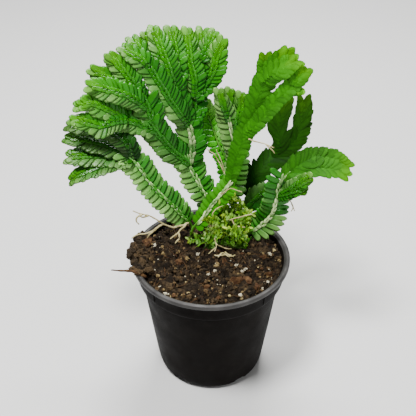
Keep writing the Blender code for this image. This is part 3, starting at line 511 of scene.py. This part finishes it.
class Paint:
    """A small helper that builds one procedural Principled material."""

    def __init__(self, name):
        self.mat = bpy.data.materials.new(name)
        self.mat.use_nodes = True
        self.nodes = self.mat.node_tree.nodes
        self.links = self.mat.node_tree.links
        self.shader = self.nodes["Principled BSDF"]
        coords = self.nodes.new("ShaderNodeTexCoord")
        self.coords = coords.outputs["Object"]

    def noise(self, scale, detail=4.0, rough=0.55):
        node = self.nodes.new("ShaderNodeTexNoise")
        node.inputs["Scale"].default_value = scale
        node.inputs["Detail"].default_value = detail
        node.inputs["Roughness"].default_value = rough
        self.links.new(self.coords, node.inputs["Vector"])
        return node.outputs["Fac"]

    def cells(self, scale):
        node = self.nodes.new("ShaderNodeTexVoronoi")
        node.inputs["Scale"].default_value = scale
        self.links.new(self.coords, node.inputs["Vector"])
        return node.outputs["Distance"]

    def ramp(self, source, stops):
        node = self.nodes.new("ShaderNodeValToRGB")
        while len(node.color_ramp.elements) < len(stops):
            node.color_ramp.elements.new(0.5)
        for element, (place, colour) in zip(node.color_ramp.elements, stops):
            element.position = place
            element.color = (*colour, 1.0)
        self.links.new(source, node.inputs["Fac"])
        return node.outputs["Color"]

    def mix(self, a, b, share, blend="MIX"):
        node = self.nodes.new("ShaderNodeMix")
        node.data_type = "RGBA"
        node.blend_type = blend
        for socket, value in ((node.inputs[6], a), (node.inputs[7], b), (node.inputs[0], share)):
            if isinstance(value, bpy.types.NodeSocket):
                self.links.new(value, socket)
            elif isinstance(value, tuple):
                socket.default_value = (*value, 1.0)
            else:
                socket.default_value = value
        return node.outputs[2]

    def tint(self):
        node = self.nodes.new("ShaderNodeAttribute")
        node.attribute_name = "tint"
        split = self.nodes.new("ShaderNodeSeparateColor")
        self.links.new(node.outputs["Color"], split.inputs["Color"])
        return split.outputs["Red"], split.outputs["Green"], split.outputs["Blue"]

    def value_of(self, name):
        node = self.nodes.new("ShaderNodeAttribute")
        node.attribute_name = name
        return node.outputs["Fac"]

    def into(self, socket, value):
        if isinstance(value, bpy.types.NodeSocket):
            self.links.new(value, self.shader.inputs[socket])
        elif isinstance(value, tuple):
            self.shader.inputs[socket].default_value = (*value, 1.0)
        else:
            self.shader.inputs[socket].default_value = value

    def roughen(self, scale, low, high, detail=4.0):
        stops = [(0.3, grey(low)), (0.7, grey(high))]
        self.into("Roughness", self.ramp(self.noise(scale, detail), stops))

    def bump(self, height, distance, strength):
        node = self.nodes.new("ShaderNodeBump")
        node.inputs["Distance"].default_value = distance
        node.inputs["Strength"].default_value = strength
        self.links.new(height, node.inputs["Height"])
        self.links.new(node.outputs["Normal"], self.shader.inputs["Normal"])


# The photograph's glints, as paler leaf ends and midribs
PALE_GREEN = (0.27, 0.49, 0.13)
PALE_MIDRIB = (0.52, 0.68, 0.3)


def leaf_paint(name, young, mid, old, newest, rough, sheen, shade, specular, light=PALE_GREEN):
    """Green that turns yellow towards the growing tips, mottled, paler by a painted highlight, darker by
    painted shade at the leaf sides, and scaled by a tone that is partly painted shade and light.
    """
    paint = Paint(name)
    age, chance, tone = paint.tint()
    colour = paint.ramp(age, [(0.0, old), (0.45, mid), (0.82, young), (1.0, newest)])
    mottle = paint.ramp(paint.noise(420.0, 5.0), [(0.3, grey(0.72)), (0.75, grey(1.18))])
    # Painted highlight: the paler a leaf is marked, the more it turns to the light green.
    pale = paint.ramp(paint.value_of("pale"), [(0.2, grey(0.0)), (0.95, grey(sheen))])
    colour = paint.mix(colour, light, pale)
    colour = paint.mix(colour, mottle, 0.7, "MULTIPLY")
    varied = paint.ramp(chance, [(0.0, grey(0.78)), (1.0, grey(1.2))])
    colour = paint.mix(colour, varied, 0.85, "MULTIPLY")
    # Painted shade: darker towards each leaf's sides, where the leaves overlap one another.
    dark = paint.ramp(paint.value_of("edge"), [(0.35, grey(1.0)), (1.0, grey(shade))])
    colour = paint.mix(colour, dark, 1.0, "MULTIPLY")
    # The tone carries painted shade and light as well as the frond's own green.
    colour = paint.mix(colour, tone, 1.0, "MULTIPLY")
    paint.into("Base Color", colour)
    paint.into("Specular IOR Level", specular)
    paint.roughen(900.0, rough - 0.08, rough + 0.1)
    paint.bump(paint.noise(2200.0, 3.0), 0.00012, 0.5)
    return paint.mat


def grainy_paint(name, grain, stops, rough, bump, specular=0.5):
    """Colours spread by a noise; grain is its (scale, detail), rough is (scale, low, high) and bump
    is (scale, detail, distance, strength)."""
    paint = Paint(name)
    paint.into("Base Color", paint.ramp(paint.noise(*grain), stops))
    paint.into("Specular IOR Level", specular)
    paint.roughen(*rough)
    paint.bump(paint.noise(*bump[:2]), *bump[2:])
    return paint.mat


def make_materials():
    mats = {}
    # Leaf paints: young, mid, old and newest greens, roughness, how far the painted highlight pales them,
    # how dark the painted edge shade is, specular, and the highlight's green.
    mats["leaf"] = leaf_paint(
        "leaf_upper", (0.026, 0.205, 0.002), (0.012, 0.135, 0.003), (0.012, 0.115, 0.004),
        (0.05, 0.24, 0.0), 0.34, 0.52, 0.76, 0.22)
    mats["under"] = leaf_paint(
        "leaf_under", (0.05, 0.275, 0.004), (0.035, 0.225, 0.004), (0.02, 0.16, 0.0),
        (0.1, 0.38, 0.0), 0.6, 0.05, 0.66, 0.08)
    # The small leaves take the strongest painted highlight, towards a pale midrib green.
    mats["median"] = leaf_paint(
        "leaf_small", (0.04, 0.27, 0.001), (0.015, 0.16, 0.002), (0.02, 0.15, 0.005),
        (0.055, 0.27, 0.0), 0.24, 1.0, 0.8, 0.25, PALE_MIDRIB)
    mats["shoot"] = leaf_paint(
        "leaf_shoot", (0.16, 0.38, 0.0), (0.06, 0.25, 0.0), (0.03, 0.17, 0.0),
        (0.36, 0.5, 0.02), 0.42, 0.75, 0.7, 0.2)
    mats["stem"] = grainy_paint(
        "stem", (260.0, 4.0), [(0.3, (0.03, 0.17, 0.002)), (0.7, (0.09, 0.27, 0.02))],
        (700.0, 0.35, 0.6), (1500.0, 4.0, 0.0002, 0.6))
    mats["root"] = grainy_paint(
        "root", (330.0, 5.0),
        [(0.28, (0.28, 0.22, 0.08)), (0.55, (0.5, 0.43, 0.2)), (0.75, (0.64, 0.58, 0.33))],
        (800.0, 0.5, 0.85), (1900.0, 4.0, 0.0002, 0.8))
    mats["bark"] = grainy_paint(
        "bark", (700.0, 6.0),
        [(0.3, (0.03, 0.012, 0.006)), (0.55, (0.07, 0.034, 0.013)), (0.75, (0.16, 0.09, 0.035))],
        (500.0, 0.6, 0.95), (1600.0, 6.0, 0.0006, 0.9), 0.15)
    mats["rim"] = grainy_paint(
        "pot_lip", (170.0, 6.0), [(0.3, (0.016, 0.015, 0.014)), (0.7, (0.055, 0.052, 0.049))],
        (260.0, 0.42, 0.66), (1900.0, 4.0, 0.00015, 0.5), 0.35)

    soil = Paint("peat")
    base = soil.ramp(soil.noise(330.0, 8.0, 0.7), [
        (0.3, (0.003, 0.002, 0.001)), (0.5, (0.018, 0.011, 0.005)), (0.64, (0.075, 0.048, 0.023)),
        (0.78, (0.15, 0.1, 0.045))])
    crumbs = soil.ramp(soil.cells(620.0), [(0.05, grey(1.3)), (0.5, grey(0.55))])
    soil.into("Base Color", soil.mix(base, crumbs, 0.8, "MULTIPLY"))
    soil.roughen(500.0, 0.7, 1.0)
    soil.bump(soil.noise(1100.0, 8.0, 0.7), 0.0008, 0.9)
    soil.into("Specular IOR Level", 0.15)
    mats["soil"] = soil.mat

    crumb = Paint("soil_crumb")
    pick = crumb.ramp(crumb.tint()[1], [
        (0.0, (0.006, 0.004, 0.002)), (0.5, (0.035, 0.023, 0.011)), (0.86, (0.09, 0.055, 0.023)),
        (0.97, (0.24, 0.17, 0.07)), (1.0, (0.45, 0.36, 0.16))])
    grain = crumb.ramp(crumb.noise(1300.0, 5.0), [(0.3, grey(0.6)), (0.75, grey(1.3))])
    crumb.into("Base Color", crumb.mix(pick, grain, 0.9, "MULTIPLY"))
    crumb.roughen(900.0, 0.65, 0.95)
    crumb.bump(crumb.noise(2600.0, 5.0), 0.0004, 0.8)
    crumb.into("Specular IOR Level", 0.15)
    mats["crumb"] = crumb.mat

    perlite = Paint("perlite")
    perlite.into("Base Color", perlite.ramp(perlite.noise(900.0), [
        (0.3, (0.33, 0.29, 0.18)), (0.7, (0.68, 0.62, 0.45))]))
    perlite.roughen(700.0, 0.6, 0.9)
    perlite.bump(perlite.cells(2600.0), 0.0003, 0.7)
    mats["perlite"] = perlite.mat

    pot = Paint("pot_plastic")
    tint = pot.ramp(pot.noise(60.0, 6.0), [
        (0.3, (0.003, 0.0024, 0.002)), (0.7, (0.0068, 0.0054, 0.0046))])
    dust = pot.ramp(pot.noise(240.0, 7.0, 0.65), [(0.55, grey(0.0)), (0.8, grey(0.25))])
    pot.into("Base Color", pot.mix(tint, (0.02, 0.017, 0.013), dust))
    pot.into("Specular IOR Level", 0.04)
    pot.roughen(130.0, 0.5, 0.7, 6.0)
    pot.bump(pot.noise(2400.0, 3.0), 0.00015, 0.5)
    mats["pot"] = pot.mat
    return mats


def raised_by(options, where):
    """How far a branch has risen to its layer at given lengths."""
    return options.get("lift", 0.0) * LIFT_SCALE * np.minimum(1.0, where / LIFT_RUN)


def leaf_size(along, total, full, options, smooth):
    """Leaf length and forward lean at a length along a branch."""
    bare = options.get("bare", 0.0)
    if along < bare:
        return 0.0, 0.0
    slow = options.get("slow", 0.0)
    first = 0.3 if slow else 0.7
    grown = first + (1 - first) * min(1.0, (along - bare) / (slow or GROW_RUN))
    lean = math.radians(STALK_LEAN if bare else FAN_LEAN)
    if not bare:
        grown *= 1.12
    if smooth:
        lean += math.radians(20 if bare else 10)
        grown *= 1.28 if bare else 1.16
    lean += math.radians(options.get("close", 0.0))
    if options.get("tip"):
        near = max(0.0, 1 - (total - along) / TIP_RUN)
        lean += (math.radians(TIP_LEAN) - lean) * near ** 1.2
        grown *= 1 - 0.08 * near
    return full * grown * LEAF_REACH, lean


def grow_branch(points, facing, full, options, leaves, medians, tone, smooth, ages):
    """Adds a branch's rows of large leaves and its rows of small ones on the upper face."""
    curve = catmull(points)
    total = length_of(curve) - options.get("stop", 0.0)
    if options.get("tip"):
        total -= TIP_REACH
    stalk = "bare" in options
    pitch = STALK_PITCH if stalk else FAN_PITCH
    if smooth:
        pitch = SMOOTH_PITCH
    where = [FIRST_LEAF]
    while where[-1] < total:
        crowd = TIP_CROWD if options.get("tip") and total - where[-1] < CROWD_RUN else 1.0
        where.append(where[-1] + pitch * crowd)
    where = np.array(where)
    pts, tan, normal, side = frames_at(curve, where, facing)
    width = STALK_LEAF_WIDTH if stalk and not smooth else LEAF_WIDTH
    size, slim, apart, spread = SMALL_ON_STALK if stalk else SMALL_ON_FAN
    for i, along in enumerate(where):
        reach, lean = leaf_size(along, total, full, options, smooth)
        if reach <= 0:
            continue
        raised = raised_by(options, along)
        age = ages[0] + (ages[1] - ages[0]) * (along / total) ** 2
        for sign in (1, -1):
            jitter = rng.normal(0, 1, 4)
            forward = lean + math.radians(3.5) * jitter[0]
            out = side[i] * sign * math.cos(forward) + tan[i] * math.sin(forward)
            out = out + normal[i] * (0.1 + 0.05 * jitter[1])
            tilt = math.radians(4 if smooth else 7) + math.radians(3) * jitter[2]
            up = normal[i] * math.cos(tilt) + tan[i] * math.sin(tilt)
            length = reach * (1 + 0.04 * jitter[3])
            # Painted highlight: most leaves of one row are paler, as if the light fell on that side, and
            # few of the other.
            gloss = 0.4 + 0.6 * rng.random() if sign < 0 else 0.3 * rng.random()
            gloss += options.get("sheen", 0.0)
            # Leaves of the open row are longer and get a strong painted highlight.
            if sign > 0 and along < options.get("open", 0.0):
                length *= 1.12
                gloss = 0.9
            shift = 0.45 * pitch if sign < 0 else 0.0
            base = pts[i] + normal[i] * raised + side[i] * sign * 0.2 + tan[i] * shift
            leaves.add(base, out, up, length, width, 0.1 + 0.02 * jitter[1], 0.02, age, tone,
                       gloss)
        if options.get("smooth"):
            continue
        for sign in (1, -1):
            turn = math.radians(spread) + math.radians(5) * rng.normal()
            out = tan[i] * math.cos(turn) + side[i] * sign * math.sin(turn) + normal[i] * 0.16
            base = pts[i] + normal[i] * (raised + 0.32) + side[i] * sign * apart
            # Small leaves get a random painted highlight, and are darker on fans than on stalks.
            medians.add(base, out, normal[i] + side[i] * sign * 0.25, size, slim, 0.1, 0.05, age,
                        tone * (1.0 if stalk else 0.8),
                        options.get("gloss", 0.15) * rng.uniform(0.5, 1.6))


def branch_ages(options):
    """Ages at a branch's foot and end, where 1 is a growing tip."""
    if options.get("tip"):
        return 0.45, 0.97
    return (0.05, 0.3) if "bare" in options else (0.25, 0.45)


def branch_stem(points, facing, options, smooth):
    """The stem under a branch's leaves; a smooth branch shows it along its bare foot alone."""
    curve = catmull(points)
    reach = length_of(curve) - (STEM_SHORT if options.get("tip") else 0)
    if smooth:
        reach = options["bare"] + 3.0
    where = np.linspace(0, reach, 14)
    pts, _, normal, _ = frames_at(curve, where, facing)
    line = pts + normal * raised_by(options, where)[:, None]
    radii = STALK_RADII if "bare" in options else BRANCH_RADII
    return tube_mesh(line, radii, spacing=0.9)


def make_fronds(mats):
    """Each frond's large leaves, small leaves and stems, with matte leaves where it has some."""
    for name, plan in FRONDS.items():
        leaves, matte, medians = Leaves(), Leaves(), Leaves()
        stems = [tube_mesh(plan["stem"], FOOT_RADII, sides=10)]
        for points, facing, full, options in plan["branches"]:
            smooth = options.get("smooth", plan["smooth"])
            into = matte if options.get("smooth") else leaves
            grow_branch(points, facing, full, options, into, medians,
                        options.get("tone", plan["tone"]), smooth, branch_ages(options))
            if "bare" in options or not smooth:
                stems.append(branch_stem(points, facing, options, smooth))
        blades = leaves.piece(name + "_leaves", mats["under" if plan["under"] else "leaf"],
                              POINTED_END if plan["smooth"] else ROUND_END, plan["smooth"])
        small = medians.piece(name + "_small_leaves", mats["median"], SMALL_END)
        stalk = mesh_piece(name + "_stems", *joined(stems), mats["stem"])
        pieces = [blades, small, stalk]
        if matte.rows:
            pieces.append(matte.piece(name + "_matte_leaves", mats["under"], POINTED_END, True))
        for piece in pieces:
            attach(piece, "root")
            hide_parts(name)


def shoot(x, y, tall, tone, leaves, stems):
    """One thin wandering shoot with small leaves all along it."""
    foot = np.array([x, y, soil_height(x, y) - 0.5])
    drift = rng.normal(0, 1, 4) * (1.2 + 0.2 * tall)
    bend = foot + np.array([drift[0] * 0.5, drift[1] * 0.4, tall * 0.6])
    points = [foot, bend, foot + np.array([drift[2], drift[3] - 0.4, tall])]
    stems.append(tube_mesh(points, SHOOT_RADII, sides=6, spacing=0.9, wobble=0.4, seed=x))
    curve = catmull(points)
    total = length_of(curve)
    where = np.arange(0.6, total + 0.2, 1.0)
    pts, tan, normal, side = frames_at(curve, where, (rng.uniform(-0.9, 0.9), -0.7, 0.5))
    for i, along in enumerate(where):
        near = max(0.0, 1 - (total - along) / 2.5)
        for sign in (1, -1):
            if rng.random() < 0.12:
                continue
            lean = math.radians(20 + 42 * near) + rng.normal(0, 0.25)
            out = side[i] * sign * math.cos(lean) + tan[i] * math.sin(lean)
            out = out + normal[i] * rng.normal(0.15, 0.45)
            size = rng.uniform(1.1, 3.0) * (1 - 0.2 * near)
            up = normal[i] + tan[i] * 0.3 + side[i] * rng.normal(0, 0.3)
            # Each leaf gets a random painted highlight.
            leaves.add(pts[i], out, up, size, size * 0.5, 0.12, 0.08,
                       0.2 + 0.75 * along / total, tone, rng.random())


def make_tufts(mats):
    """Tangled young shoots over the crown, which hide the feet of the fronds."""
    for name, (tone, clumps) in TUFTS.items():
        leaves, stems = Leaves(), []
        for middle, spread, count, heights in clumps:
            for _ in range(count):
                turn, share = rng.uniform(0, 2 * math.pi), math.sqrt(rng.random())
                x = middle[0] + spread[0] * share * math.cos(turn)
                y = middle[1] + spread[1] * share * math.sin(turn)
                tall = heights[0] + (heights[1] - heights[0]) * rng.random() ** 1.2
                shoot(x, y, tall, tone * rng.uniform(0.65, 1.15), leaves, stems)
        blades = leaves.piece(name + "_leaves", mats["shoot"], SHOOT_END)
        stalk = mesh_piece(name + "_stems", *joined(stems), mats["stem"])
        for piece in (blades, stalk):
            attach(piece, "root")
            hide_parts(name)


def make_roots(mats):
    """The aerial roots, thicker in the clear view at the left."""
    for index, (name, lines) in enumerate(ROOTS.items()):
        radii = THICK_ROOT_RADII if name == "roots_left" else ROOT_RADII
        parts = []
        for line in lines:
            parts.append(tube_mesh(line, radii, spacing=0.6, wobble=0.35, seed=index * 3.7))
        piece = mesh_piece(name + "_fine", *joined(parts), mats["root"])
        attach(piece, "root")
        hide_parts(name)


def side_radius(z):
    """Outer radius of the pot's plain taper at height z, below the collar."""
    top = RIM_RADIUS - LIP - COLLAR_STEP - 1.0
    return BASE_RADIUS + (top - BASE_RADIUS) * z / (POT_HEIGHT - COLLAR_DEPTH)


def inner_radius(z):
    """Inner radius of the pot at height z."""
    knee = POT_HEIGHT - COLLAR_DEPTH
    if z < knee:
        return side_radius(z) - WALL
    return side_radius(knee) - WALL + COLLAR_STEP * min(1.0, (z - knee) / 2.0) + 0.1 * (z - knee)


def soil_height(x, y):
    """Height of the soil's surface, as in the frame."""
    r = math.hypot(x, y)
    mound = SOIL_MOUND * math.exp(-((x + 1) ** 2 + (y - 9) ** 2) / 320)
    left = 4.4 * math.exp(-((x + 24) ** 2 + (y - 1) ** 2) / 65)
    bumps = 0.35 * math.sin(0.61 * x + 1.2) * math.cos(0.55 * y) + 0.3 * math.sin(0.9 * y + 0.4 * x)
    edge = -1.3 * max(0.0, (r - 19) / 9) ** 2
    return SOIL_LEVEL + mound + left + bumps * (1 if r < 26.5 else 0.4) + edge


def ring_point(radius, angle, z):
    return radius * math.cos(angle), radius * math.sin(angle), z


def from_bmesh(name, bm):
    """A linked object made from a bmesh."""
    mesh = bpy.data.meshes.new(name)
    bm.to_mesh(mesh)
    bm.free()
    obj = bpy.data.objects.new(name, mesh)
    bpy.context.scene.collection.objects.link(obj)
    return obj


def rounded(profile, passes=2):
    """Rounds a closed profile's corners by cutting them, keeping points marked sharp."""
    pts = profile
    for _ in range(passes):
        out = []
        for (r0, z0, sharp0), (r1, z1, sharp1) in zip(pts, pts[1:] + pts[:1]):
            if sharp0:
                out.append((r0, z0, True))
            else:
                out.append((r0 * 0.75 + r1 * 0.25, z0 * 0.75 + z1 * 0.25, False))
            if not sharp1:
                out.append((r0 * 0.25 + r1 * 0.75, z0 * 0.25 + z1 * 0.75, False))
        pts = out
    return pts


def drill(body, spot):
    """Adds to the pot a short upright cut for a drain hole or a notch, and returns its tool."""
    bm = bmesh.new()
    bmesh.ops.create_cone(bm, cap_ends=True, segments=32, radius1=DRAIN_RADIUS * MM,
                          radius2=DRAIN_RADIUS * MM, depth=6 * MM,
                          matrix=Matrix.Translation(Vector(spot) * MM))
    cut = body.modifiers.new("drain", "BOOLEAN")
    cut.operation = "DIFFERENCE"
    cut.object = from_bmesh("drain", bm)
    return cut.object


def make_pot(mats):
    """A thin turned wall with a rolled lip, a collar with ribs, drain holes and base notches."""
    knee = POT_HEIGHT - COLLAR_DEPTH
    neck = inner_radius(POT_HEIGHT - 1.4) + WALL
    collar = inner_radius(knee + 2.0) + WALL
    rim, top = RIM_RADIUS, POT_HEIGHT
    outline = [
        (0.01, 0.0), (9.0, 0.0), (BASE_RADIUS - 2.4, 0.0), (BASE_RADIUS - 1.1, 0.4),
        (BASE_RADIUS - 0.1, 1.8), (side_radius(4.5), 4.5), (side_radius(20), 20.0),
        (side_radius(knee - 1.0), knee - 1.0), (side_radius(knee - 0.5), knee - 0.5),
        (collar - 0.1, knee), (collar + 0.35, knee + 0.9), (neck + 0.15, top - 2.2),
        (rim - 0.1, top - 1.8), (rim, top - 1.0), (rim - 0.1, top - 0.2), (rim - 0.9, top),
        (rim - 1.6, top - 0.1), (rim - 2.0, top - 0.7), (neck - WALL, top - 1.4),
        (inner_radius(knee + 2), knee + 2), (inner_radius(knee), knee), (inner_radius(20), 20.0),
        (inner_radius(4.5), 4.5), (BASE_RADIUS - 1.4, 2.3), (BASE_RADIUS - 3.2, 1.2), (0.01, 1.2),
    ]
    points = rounded([(r, z, r < 1.0) for r, z in outline])
    verts = []
    for radius, z, _ in points:
        for k in range(POT_SIDES):
            verts.append(ring_point(radius, 2 * math.pi * k / POT_SIDES, z))
    last = len(points) - 1
    faces = ring_quads(last, POT_SIDES)
    faces.append(tuple(range(POT_SIDES))[::-1])
    faces.append(tuple(last * POT_SIDES + k for k in range(POT_SIDES)))
    body = mesh_piece("pot_body", verts, faces, mats["pot"])
    body.data.materials.append(mats["rim"])
    for face in body.data.polygons:
        middle = face.center
        if middle.z > (top - 1.9) * MM and math.hypot(middle.x, middle.y) > (rim - 2.2) * MM:
            face.material_index = 1
    tools = []
    for k in range(DRAIN_HOLES):
        angle = 2 * math.pi * (k + 0.25) / DRAIN_HOLES
        for ring, middle in ((DRAIN_RING, 1.0), (BASE_RADIUS - 0.2, -0.2)):
            tools.append(drill(body, ring_point(ring, angle, middle)))
    graph = bpy.context.evaluated_depsgraph_get()
    mesh = bpy.data.meshes.new_from_object(body.evaluated_get(graph))
    body.modifiers.clear()
    body.data = mesh
    for tool in tools:
        bpy.data.objects.remove(tool, do_unlink=True)
    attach(body, "root")
    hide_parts("pot")
    ribs = []
    for turn in RIB_TURNS:
        angle = math.radians(turn)
        low = Vector(ring_point(collar + 0.2, angle, knee + 1.4))
        high = Vector(ring_point(neck + 0.1, angle, top - 2.6))
        ribs.append(tube_mesh([low, (low + high) / 2, high], (RIB_RADIUS, RIB_RADIUS), sides=10))
    bead = mesh_piece("pot_ribs", *joined(ribs), mats["pot"])
    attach(bead, "root")


def make_soil(mats):
    """The crumbly surface, with crumbs, perlite, bark and fibres lying on it."""
    sides = SOIL_SIDES
    outer = inner_radius(POT_HEIGHT - 3.0) - 0.12
    turns = [2 * math.pi * k / sides for k in range(sides)]
    verts, faces = [(0.0, 0.0, soil_height(0, 0))], []
    for j in range(1, SOIL_RINGS + 1):
        fade = min(1.0, (SOIL_RINGS - j) / 3.0)
        for angle in turns:
            x, y, _ = ring_point(outer * j / SOIL_RINGS, angle, 0.0)
            lumps = noise.fractal(Vector((x, y, 3.0)) * 0.42, 0.9, 2.1, 4)
            fine = noise.fractal(Vector((x, y, 9.0)) * 1.5, 0.8, 2.0, 3)
            verts.append((x, y, soil_height(x, y) + (1.7 * lumps + 0.8 * fine) * fade))
    low = len(verts)
    for angle in turns:
        verts.append(ring_point(inner_radius(SOIL_SKIRT) - 0.2, angle, SOIL_SKIRT))
    for k in range(sides):
        m = (k + 1) % sides
        faces.append((0, 1 + k, 1 + m))
        for j in range(SOIL_RINGS):
            a, b = 1 + j * sides, 1 + (j + 1) * sides
            faces.append((a + k, b + k, b + m, a + m))
    faces.append(tuple(range(low, low + sides))[::-1])
    surface = mesh_piece("soil_surface", verts, faces, mats["soil"])
    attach(surface, "root")
    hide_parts("soil")

    make_crumbs(mats)
    make_spill(mats)
    grains("perlite_grains", PERLITE, mats["perlite"], SMALL_PERLITE, (0.1, 0.27), 0.6, 1.35)
    grains("bark_bits", BARK, mats["bark"], SMALL_BARK, (0.5, 1.2), 0.45, 0.75)
    make_fibres(mats)


def on_disc(limit):
    """A random place on the soil within a radius."""
    angle = rng.uniform(0, 2 * math.pi)
    radius = limit * math.sqrt(rng.random())
    return radius * math.cos(angle), radius * math.sin(angle)


def lump(centre, size, squash, seed, uneven=0.75):
    """An uneven grain as vertices and faces."""
    bm = bmesh.new()
    bmesh.ops.create_icosphere(bm, subdivisions=2, radius=1.0)
    turn = Matrix.Rotation(seed * 2.1, 3, "Z") @ Matrix.Rotation(seed * 1.3, 3, "X")
    verts = []
    for v in bm.verts:
        p = v.co.copy()
        p *= max(0.25, 1 + uneven * noise.noise(p * 1.9 + Vector((seed, seed * 0.7, 0))))
        p = turn @ Vector((p.x, p.y * 0.75, p.z * squash))
        verts.append(np.array(centre) + np.array(p) * size)
    faces = [tuple(v.index for v in f.verts) for f in bm.faces]
    bm.free()
    return np.array(verts), faces


def crumb_piece(name, parts, chances, mats):
    """One mesh of crumbs, each with its own chance of a colour."""
    verts, faces = joined(parts)
    tint = np.zeros((len(verts), 3))
    tint[:, 1] = np.repeat(chances, [len(v) for v, _ in parts])
    tint[:, 2] = 1.0
    piece = mesh_piece(name, verts, faces, mats["crumb"], tint, smooth=False)
    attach(piece, "root")


def make_crumbs(mats):
    """Crumbs spread over the soil at random, most of them small."""
    parts, chances = [], []
    for k in range(CRUMBS):
        x, y = on_disc(CRUMB_REACH)
        size = CRUMB_SIZES[0] + (CRUMB_SIZES[1] - CRUMB_SIZES[0]) * rng.random() ** 2.2
        parts.append(lump((x, y, soil_height(x, y) + 0.25 * size), size, 0.75, k * 0.37))
        chances.append(rng.random())
    crumb_piece("soil_crumbs", parts, chances, mats)


def make_spill(mats):
    """Clumps of soil heaped over the rim on the left."""
    parts, chances = [], []
    for k in range(SPILL_CRUMBS):
        turn = rng.uniform(158, 206)
        radius = rng.uniform(25.0, 30.3)
        size = rng.uniform(*SPILL_SIZES)
        top = max(0.3, 1.4 * math.cos(math.radians(3.2 * (turn - 182))))
        height = POT_HEIGHT + rng.uniform(0.1, top) * (1.0 if radius > 27 else 0.5)
        spot = ring_point(radius, math.radians(turn), height + 0.35 * size)
        parts.append(lump(spot, size, 0.7, k * 0.53))
        chances.append(0.7 * rng.random())
    crumb_piece("soil_spill", parts, chances, mats)


def grains(name, placed, mat, extra, sizes, flat, uneven):
    """Grains at the places given, and some more at random."""
    spots = list(placed)
    for _ in range(extra):
        spots.append((*on_disc(GRAIN_REACH), rng.uniform(*sizes)))
    parts = []
    for k, (x, y, size) in enumerate(spots):
        parts.append(lump((x, y, soil_height(x, y) + 0.5), size, flat, k * 1.1 + 0.4, uneven))
    piece = mesh_piece(name, *joined(parts), mat, smooth=False)
    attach(piece, "root")


def make_fibres(mats):
    """Peat fibres on the soil and the long one that sticks out over the rim."""
    parts = [tube_mesh([(-36.2, -12.6, 54.4), (-32, -12.6, 54.2), (-28, -12.4, 53.4),
                        (-24, -12.2, 51.0)], (0.2, 0.75), sides=10, spacing=0.5, wobble=0.3)]
    for _ in range(FIBRES):
        x, y = on_disc(FIBRE_REACH)
        turn = rng.uniform(0, math.pi)
        reach = rng.uniform(1.0, 3.2)
        line = []
        for step in (-1, 0, 1):
            px = x + math.cos(turn) * reach * step + rng.normal(0, 0.3)
            py = y + math.sin(turn) * reach * step + rng.normal(0, 0.3)
            if math.hypot(px, py) > 27:
                px, py = px * 0.9, py * 0.9
            line.append((px, py, soil_height(px, py) + 0.55 + rng.uniform(-0.2, 0.3)))
        parts.append(tube_mesh(line, (0.14, 0.07), sides=5, spacing=0.6))
    piece = mesh_piece("soil_fibres", *joined(parts), mats["bark"])
    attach(piece, "root")


def make_stage():
    bm = bmesh.new()
    bmesh.ops.create_grid(bm, x_segments=1, y_segments=1, size=3.0)
    floor = from_bmesh("floor", bm)
    paint = Paint("floor_paint")
    paint.into("Base Color", (0.66, 0.66, 0.65))
    paint.into("Roughness", 0.85)
    floor.data.materials.append(paint.mat)


def make_light():
    for name, (place, size, power) in LIGHTS.items():
        lamp = bpy.data.lights.new(name, "AREA")
        lamp.shape = "SQUARE"
        lamp.size = size
        lamp.energy = power
        obj = bpy.data.objects.new(name, lamp)
        obj.location = place
        aim = Vector(LIGHT_AIM) - Vector(place)
        obj.rotation_euler = aim.to_track_quat("-Z", "Y").to_euler()
        bpy.context.scene.collection.objects.link(obj)
    world = bpy.data.worlds.new("studio")
    world.use_nodes = True
    background = world.node_tree.nodes["Background"]
    background.inputs["Color"].default_value = (1, 1, 1, 1)
    background.inputs["Strength"].default_value = WORLD_STRENGTH
    bpy.context.scene.world = world


def make_camera():
    data = bpy.data.cameras.new("camera")
    data.lens = CAMERA_LENS
    data.sensor_width = 36.0
    data.clip_start = 0.01
    camera = bpy.data.objects.new("camera", data)
    camera.location = Vector((CAMERA_X, -CAMERA_DISTANCE * math.cos(CAMERA_ELEVATION),
                              POT_HEIGHT + CAMERA_DISTANCE * math.sin(CAMERA_ELEVATION))) * MM
    camera.rotation_euler = (math.pi / 2 - CAMERA_PITCH, 0, 0)
    bpy.context.scene.collection.objects.link(camera)
    bpy.context.scene.camera = camera


def main():
    mats = make_materials()
    make_pot(mats)
    make_soil(mats)
    make_fronds(mats)
    make_tufts(mats)
    make_roots(mats)
    make_stage()
    make_light()
    make_camera()


main()
bpy.context.view_layer.update()
